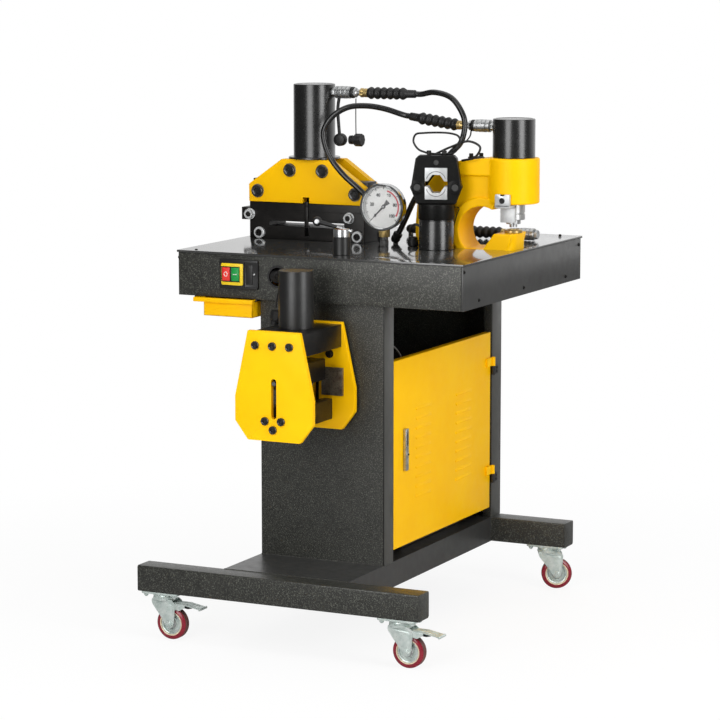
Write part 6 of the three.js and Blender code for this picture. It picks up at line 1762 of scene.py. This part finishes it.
# %% Needle and glass
NEEDLE = ((-18, 6.4), (-7, 3.2), (0, 2.2), (24, 1.5), (42, 0.5))
NEEDLE_HUB = [(2.6, 0), (4.6, 0), (4.6, 1), (4, 1.6), (2.6, 1.8)]
rest = math.radians(SCALE_START)
side = Vector((-math.sin(rest), 0, math.cos(rest)))
shape = [on_dial(reach, SCALE_START) + side * half for reach, half in NEEDLE]
shape += [on_dial(reach, SCALE_START) - side * half for reach, half in reversed(NEEDLE)]
needle = slab(blank(), [(p.x, p.z) for p in shape], "y", 271.7, 272.5, 0.15)
revolve(needle, NEEDLE_HUB, (GAUGE.x, 272.9, GAUGE.z), FRONT, 36, loop=True)
make("gauge_pointer", needle, switch_black, ["gauge_needle"], "gauge_needle")
spigot = revolve(blank(), [(2.4, 0), (2.4, 4), (1.8, 4.6), (0, 4.8)], (GAUGE.x, 274, GAUGE.z), FRONT, 24)
make("gauge_spigot", spigot, bright_steel, ["gauge_case"])
pane = revolve(blank(), [(51.6, 1), (51.6, 3), (0, 3)], GAUGE, BACK, FINE_STEPS)
revolve(pane, [(0, 1), (51.6, 1)], GAUGE, BACK, FINE_STEPS)
bmesh.ops.remove_doubles(pane, verts=pane.verts, dist=0.01)
make("gauge_pane", pane, clear_glass, ["gauge_glass"])
print("needle", NEEDLE[-1][0] - NEEDLE[0][0], "mm long")

# %% [markdown]
# ## Selector valve
# The lever chooses which tool gets the oil. Its polished cap turns on a black body, and a thin rod
# goes through the cap to a ball that the hand pushes.

# %% Valve body
VALVE = Vector((27, 73, TABLE))
drum = [(12, -5), (12, 0), (19.2, 0), (20, 0.8), (20, 39.6), (19.2, 40.5), (4.2, 40.5), (4.2, 49)]
drum = revolve(blank(), drum, VALVE, UP, FINE_STEPS)
make("valve_drum", drum, honed_black, ["valve_body"])
print("valve at", VALVE[:2])

# %% Cap, rod and ball
cap = [(4.6, 40.8), (18.2, 40.8), (19, 41.6), (19, 57.4), (18.4, 58.4), (17, 58.8), (14.6, 58.8),
       (14.2, 58), (0, 58)]
cap = revolve(blank(), cap, VALVE, UP, FINE_STEPS)
make("valve_cap", cap, nickel, ["valve_lever"], "valve_lever")
disc = revolve(blank(), [(14, 57.6), (14, 58.5), (13.4, 58.9), (0, 58.9)], VALVE, UP, 72)
make("valve_cap_disc", disc, copper, ["valve_lever"], "valve_lever")
KNOB_WAY = (0.28, -0.96, 0)
grip = Vector((-35, VALVE.y, TABLE + 73.8))
tail = Vector((54, VALVE.y, TABLE + 53.8))
rod = sweep(blank(), [grip.lerp(tail, t) for t in (0.55, 0.6, 0.95, 1.0)], [2.9, 2.9, 2.9, 2.2])
revolve(rod, [(3, 0), (4.6, 0.4), (4.8, 3), (3, 4)], tail, (tail - grip).normalized() * -1, 24)
make("valve_rod", rod, nickel, ["valve_lever"], "valve_lever")
knob = sweep(blank(), [grip.lerp(tail, t) for t in (0.04, 0.2, 0.5, 0.56)], [6.2, 5.4, 4.2, 4])
ball = [(11 * math.cos(a), 8.6 * math.sin(a)) for a in [math.radians(-90 + 10 * i) for i in range(19)]]
ball[0], ball[-1] = (0, -8.6), (0, 8.6)
revolve(knob, ball, grip, KNOB_WAY)
make("valve_knob", knob, soft_rubber, ["valve_lever"], "valve_lever")
button = revolve(blank(), [(6, 6.6), (6, 8.4), (4.8, 9.5), (0, 9.8)], grip, KNOB_WAY, 32)
make("valve_knob_button", button, nickel, ["valve_lever"], "valve_lever")
print("lever", round((tail - grip).length), "mm")

# %% [markdown]
# ## Outlets and what is under the table
# Steel pipes come up through the plate beside the cutter. Below it they run from a brass manifold,
# and one goes down into the column to the pump on the oil tank.

# %% Manifold and pipes
MANIFOLD_LOW = (-20.5, 54.5, TABLE - 63)
MANIFOLD_HIGH = (74.5, 194.5, TABLE - 5.2)
brick = block(blank(), MANIFOLD_LOW, MANIFOLD_HIGH, 1.5)
revolve(brick, [(9, -16), (11, -15, 6), (11, -6, 6), (9, -5), (9, 1)],
        (MANIFOLD_LOW[0], bender_turn()[-1].y, HOSE_LEVEL), RIGHT, 36)
for x in (20, 74):
    for z in (20, 40):
        cap_screw(brick, (MANIFOLD_LOW[0] + x, MANIFOLD_LOW[1], MANIFOLD_LOW[2] + z), FRONT, 5, 4)
make("manifold_block", brick, brass, ["valve_manifold"])
print("manifold", MANIFOLD_HIGH[0] - MANIFOLD_LOW[0], "mm wide")

# %% [markdown]
# A pipe leaves the manifold's back level, turns up under its outlet and ends in a rubber sleeve that
# takes the hose. Where it starts and how deep it lies under the plate is set for each tool.

# %% Pipes and their sleeves
PIPE_RADIUS = 6
PIPES = {"cutter": (35.5, 34), "punch": (8, 34), "crimp": (-9.5, 51)}
OUTLET_SLEEVE = [(0, -10.6), (7, -9), (10, -4.6), (11, 0), (11, 4), (9.6, 5), (9.6, 6.4), (11, 7.4),
                 (11, 15), (10, SLEEVE_RIM)]
FEED = [(57, 164.5, MANIFOLD_LOW[2] + 1), (57, 164.5, 700), (57, 164.5, 380), (57, 167, 352), (57, 180, 344),
        (57, 230, 344), (57, 241, 340), (57, 243.5, 320)]
pipes, sleeves = blank(), blank()
for tool, (elbow, way) in outlets.items():
    x, depth = PIPES[tool]
    start = Vector((x, MANIFOLD_HIGH[1] - 1, TABLE - depth))
    corner = Vector((elbow.x, elbow.y, TABLE - depth))
    back, up = (start - corner).normalized(), Vector(UP)
    route = [start, corner + back * 14, corner + back * 4 + up * 4, corner + up * 14, elbow]
    sweep(pipes, smooth_path(route, 5), PIPE_RADIUS, 20)
    revolve(sleeves, OUTLET_SLEEVE, elbow, way)
sweep(pipes, smooth_path(FEED, 5), PIPE_RADIUS, 20)
make("oil_pipes", pipes, dark_steel, ["valve_manifold"])
make("outlet_sleeves", sleeves, soft_rubber, ["valve_manifold"])
print(len(outlets), "outlets")

# %% Oil tank
TANK_HEIGHT = 150
TANK_TOP = BAR_TOP + TANK_HEIGHT
tank = block(blank(), (-115, 213.5, BAR_TOP), (115, 543.5, TANK_TOP), 4, 4)
seam = rectangle((-116.2, 116.2), (212.3, 544.7), 5, 5)
for height in (12, 138):
    sweep(tank, [(x, y, BAR_TOP + height) for x, y in seam], 1.6, 8, closed=True)
make("tank_shell", tank, smooth_grey, ["oil_tank"])
filler = [(15, 0), (15, 14), (17, 15), (17, 28), (15.6, 30), (0, 30)]
filler = revolve(blank(), filler, (90, 238.5, BAR_TOP + 149.6))
make("tank_filler", filler, switch_black, ["oil_tank"])
print("tank", TANK_HEIGHT, "mm high")

# %% [markdown]
# The motor stands on the tank. Its fins and the fan's blades are one drawing each, set down again
# and again round the shaft. A guard of two bars crosses over the fan.


# %% Pump motor and its fan
def set_round(bm, draw, count):
    """Adds one drawing in so many places round the motor's shaft."""
    for i in range(count):
        turn = Matrix.Rotation(2 * math.pi * i / count, 4, "Z")
        bm.from_mesh(as_mesh("one", placed(draw(), Matrix.Translation(SHAFT) @ turn)))


def fin():
    return block(blank(), (57, -1, TANK_TOP + 12), (61.8, 1, TANK_TOP + 160), 0.5)


def blade():
    outline = [(9, -1.5), (55, -1.5), (56, 0), (55, 1.5), (9, 1.5)]
    return slab(blank(), outline, "z", TANK_TOP + 165, TANK_TOP + 186, 0.4)


SHAFT = (0, 378.5, 0)
FINS = 30
BLADES = 6
MOTOR = [(75, 0), (76, 1), (76, 11), (75, 12), (58, 12.4), (58, 160), (62, 161), (62, 208), (60.6, 210),
         (59, 210), (59, 164), (8, 164), (8, 187), (0, 187)]
FAN_HUB = [(8.4, 165), (16, 165), (16, 185.6), (8.4, 185.6)]
motor = revolve(blank(), lifted(MOTOR, TANK_TOP), SHAFT, UP, 72)
set_round(motor, fin, FINS)
for x, y in ((60, 3), (3, 60)):
    block(motor, (SHAFT[0] - x, SHAFT[1] - y, TANK_TOP + 207),
          (SHAFT[0] + x, SHAFT[1] + y, TANK_TOP + 210), 0.6)
make("motor_shell", motor, satin_black, ["pump_motor"])
fan = revolve(blank(), lifted(FAN_HUB, TANK_TOP), SHAFT, loop=True)
set_round(fan, blade, BLADES)
make("motor_fan_wheel", fan, white_plastic, ["motor_fan"], "motor_fan")
print("motor with", FINS, "fins and", BLADES, "blades")

# %% Cable in the column
lead = [(40, 334, 470), (64, 300, 474), (102, 238, 516), (132, 186, 590), (140, 148, 640), (132, 108, 672),
        (98, 72, 700), (50, 48, 720), (0, 38, 728), (-40, 33, 727), (-60, 30, 724)]
cable = sweep(blank(), smooth_path(lead, 8), 2, 12)
revolve(cable, [(7, -1), (8, 0, 6), (8, 6, 6), (6.4, 7), (5, 14), (3.4, 15)], (-60, 26, 724), BACK, 32)
revolve(cable, [(7, 0), (8, 1), (8, 7), (6, 8), (3, 20)], (38, 337, 470), (0.58, -0.81, 0), 32)
make("motor_cable", cable, dark_steel, ["pump_motor"])
shown = [name for name in frame["nodes"] if not bpy.data.objects[name].hide_render]
print("pieces of the frame still showing:", shown)

# %% [markdown]
# ## Floor and light
# The bench stands on a plain pale floor. A wide softbox at the left of the camera and a narrow strip
# at its right draw the two upright bands on the black cylinders, and the world adds a soft, even
# light. In reflections the room behind is white and the camera's side dark, so plating looks deep.

# %% Floor
def mix_shaders(tree, share, first, second):
    """The first shader at a share of 0, the second at 1."""
    node = tree.nodes.new("ShaderNodeMixShader")
    for socket, source in zip(node.inputs, (share, first, second)):
        tree.links.new(source, socket)
    return node.outputs[0]


FLOOR_M = 9.0
sheet = blank()
bmesh.ops.create_grid(sheet, x_segments=1, y_segments=1, size=FLOOR_M)
floor = add("floor", as_mesh("floor", sheet))
floor_paint = bpy.data.materials.new("floor_paint")
floor_paint.use_nodes = True
tree = floor_paint.node_tree
shader = tree.nodes["Principled BSDF"]
shader.inputs["Base Color"].default_value = srgb(246, 246, 246)
shader.inputs["Roughness"].default_value = 0.9
glow = tree.nodes.new("ShaderNodeEmission")
glow.inputs["Color"].default_value = (1, 1, 1, 1)
rays = tree.nodes.new("ShaderNodeLightPath")
away = tree.nodes.new("ShaderNodeVectorMath")
away.operation = "LENGTH"
tree.links.new(tree.nodes.new("ShaderNodeTexCoord").outputs["Object"], away.inputs[0])
seen = tree.nodes.new("ShaderNodeMath")
seen.operation = "MULTIPLY"
tree.links.new(rays.outputs["Is Camera Ray"], seen.inputs[0])
tree.links.new(between(tree, away.outputs["Value"], 0.5, 1.8, 0.88, 1.0), seen.inputs[1])
lit = mix_shaders(tree, seen.outputs[0], shader.outputs[0], glow.outputs[0])
dim = tree.nodes.new("ShaderNodeEmission")
dim.inputs["Strength"].default_value = 0.12
share = between(tree, rays.outputs["Is Glossy Ray"], 0, 1, 0, 0.7)
lit = mix_shaders(tree, share, lit, dim.outputs[0])
tree.links.new(lit, tree.nodes["Material Output"].inputs["Surface"])
floor.data.materials.append(floor_paint)
print("floor", 2 * FLOOR_M, "m wide")

# %% Softboxes
aim = Vector((0, 0.1, 0.75))


def softbox(name, azimuth_deg, distance, height, size, power):
    """A lamp at an angle to the right of the camera's own direction."""
    view_angle = math.radians(-90 + CAMERA_YAW_DEG + azimuth_deg)
    data = bpy.data.lights.new(name, "AREA")
    data.shape = "RECTANGLE"
    data.size, data.size_y = size
    data.energy = power
    lamp = add(name, data)
    reach = Vector((math.cos(view_angle), math.sin(view_angle), 0)) * distance
    lamp.location = Vector((aim.x, aim.y, height)) + reach
    lamp.rotation_euler = (aim - lamp.location).to_track_quat("-Z", "Y").to_euler()
    return lamp


softbox("softbox_left", -29, 2.6, 1.6, (1.3, 2.4), 42)
softbox("strip_right", 43, 2.6, 1.6, (1.1, 2.4), 44)
rear_fill = softbox("softbox_rear", 175, 3.0, 2.0, (2.6, 2.0), 30)
rear_fill.visible_glossy = False
top = bpy.data.lights.new("softbox_top", "AREA")
top.size = 3
top.energy = 30
add("softbox_top", top).location = (0, 0.3, 3.4)
print(len(bpy.data.lights), "lamps")

# %% World
world = bpy.data.worlds.new("studio")
world.use_nodes = True
bpy.context.scene.world = world
tree = world.node_tree
tree.nodes.clear()
rays = tree.nodes.new("ShaderNodeLightPath")
coords = tree.nodes.new("ShaderNodeTexCoord")
parts = tree.nodes.new("ShaderNodeSeparateXYZ")
tree.links.new(coords.outputs["Generated"], parts.inputs[0])
back_wall = between(tree, parts.outputs["Y"], 0.3, 0.8, 0.06, 0.9)


def backdrop(strength):
    node = tree.nodes.new("ShaderNodeBackground")
    node.inputs["Color"].default_value = (1, 1, 1, 1)
    if isinstance(strength, float):
        node.inputs["Strength"].default_value = strength
    else:
        tree.links.new(strength, node.inputs["Strength"])
    return node.outputs[0]


sky = mix_shaders(tree, rays.outputs["Is Glossy Ray"], backdrop(0.3), backdrop(back_wall))
sky = mix_shaders(tree, rays.outputs["Is Transmission Ray"], sky, backdrop(back_wall))
sky = mix_shaders(tree, rays.outputs["Is Camera Ray"], sky, backdrop(1.0))
output = tree.nodes.new("ShaderNodeOutputWorld")
tree.links.new(sky, output.inputs["Surface"])
bpy.context.scene.view_settings.view_transform = "Standard"
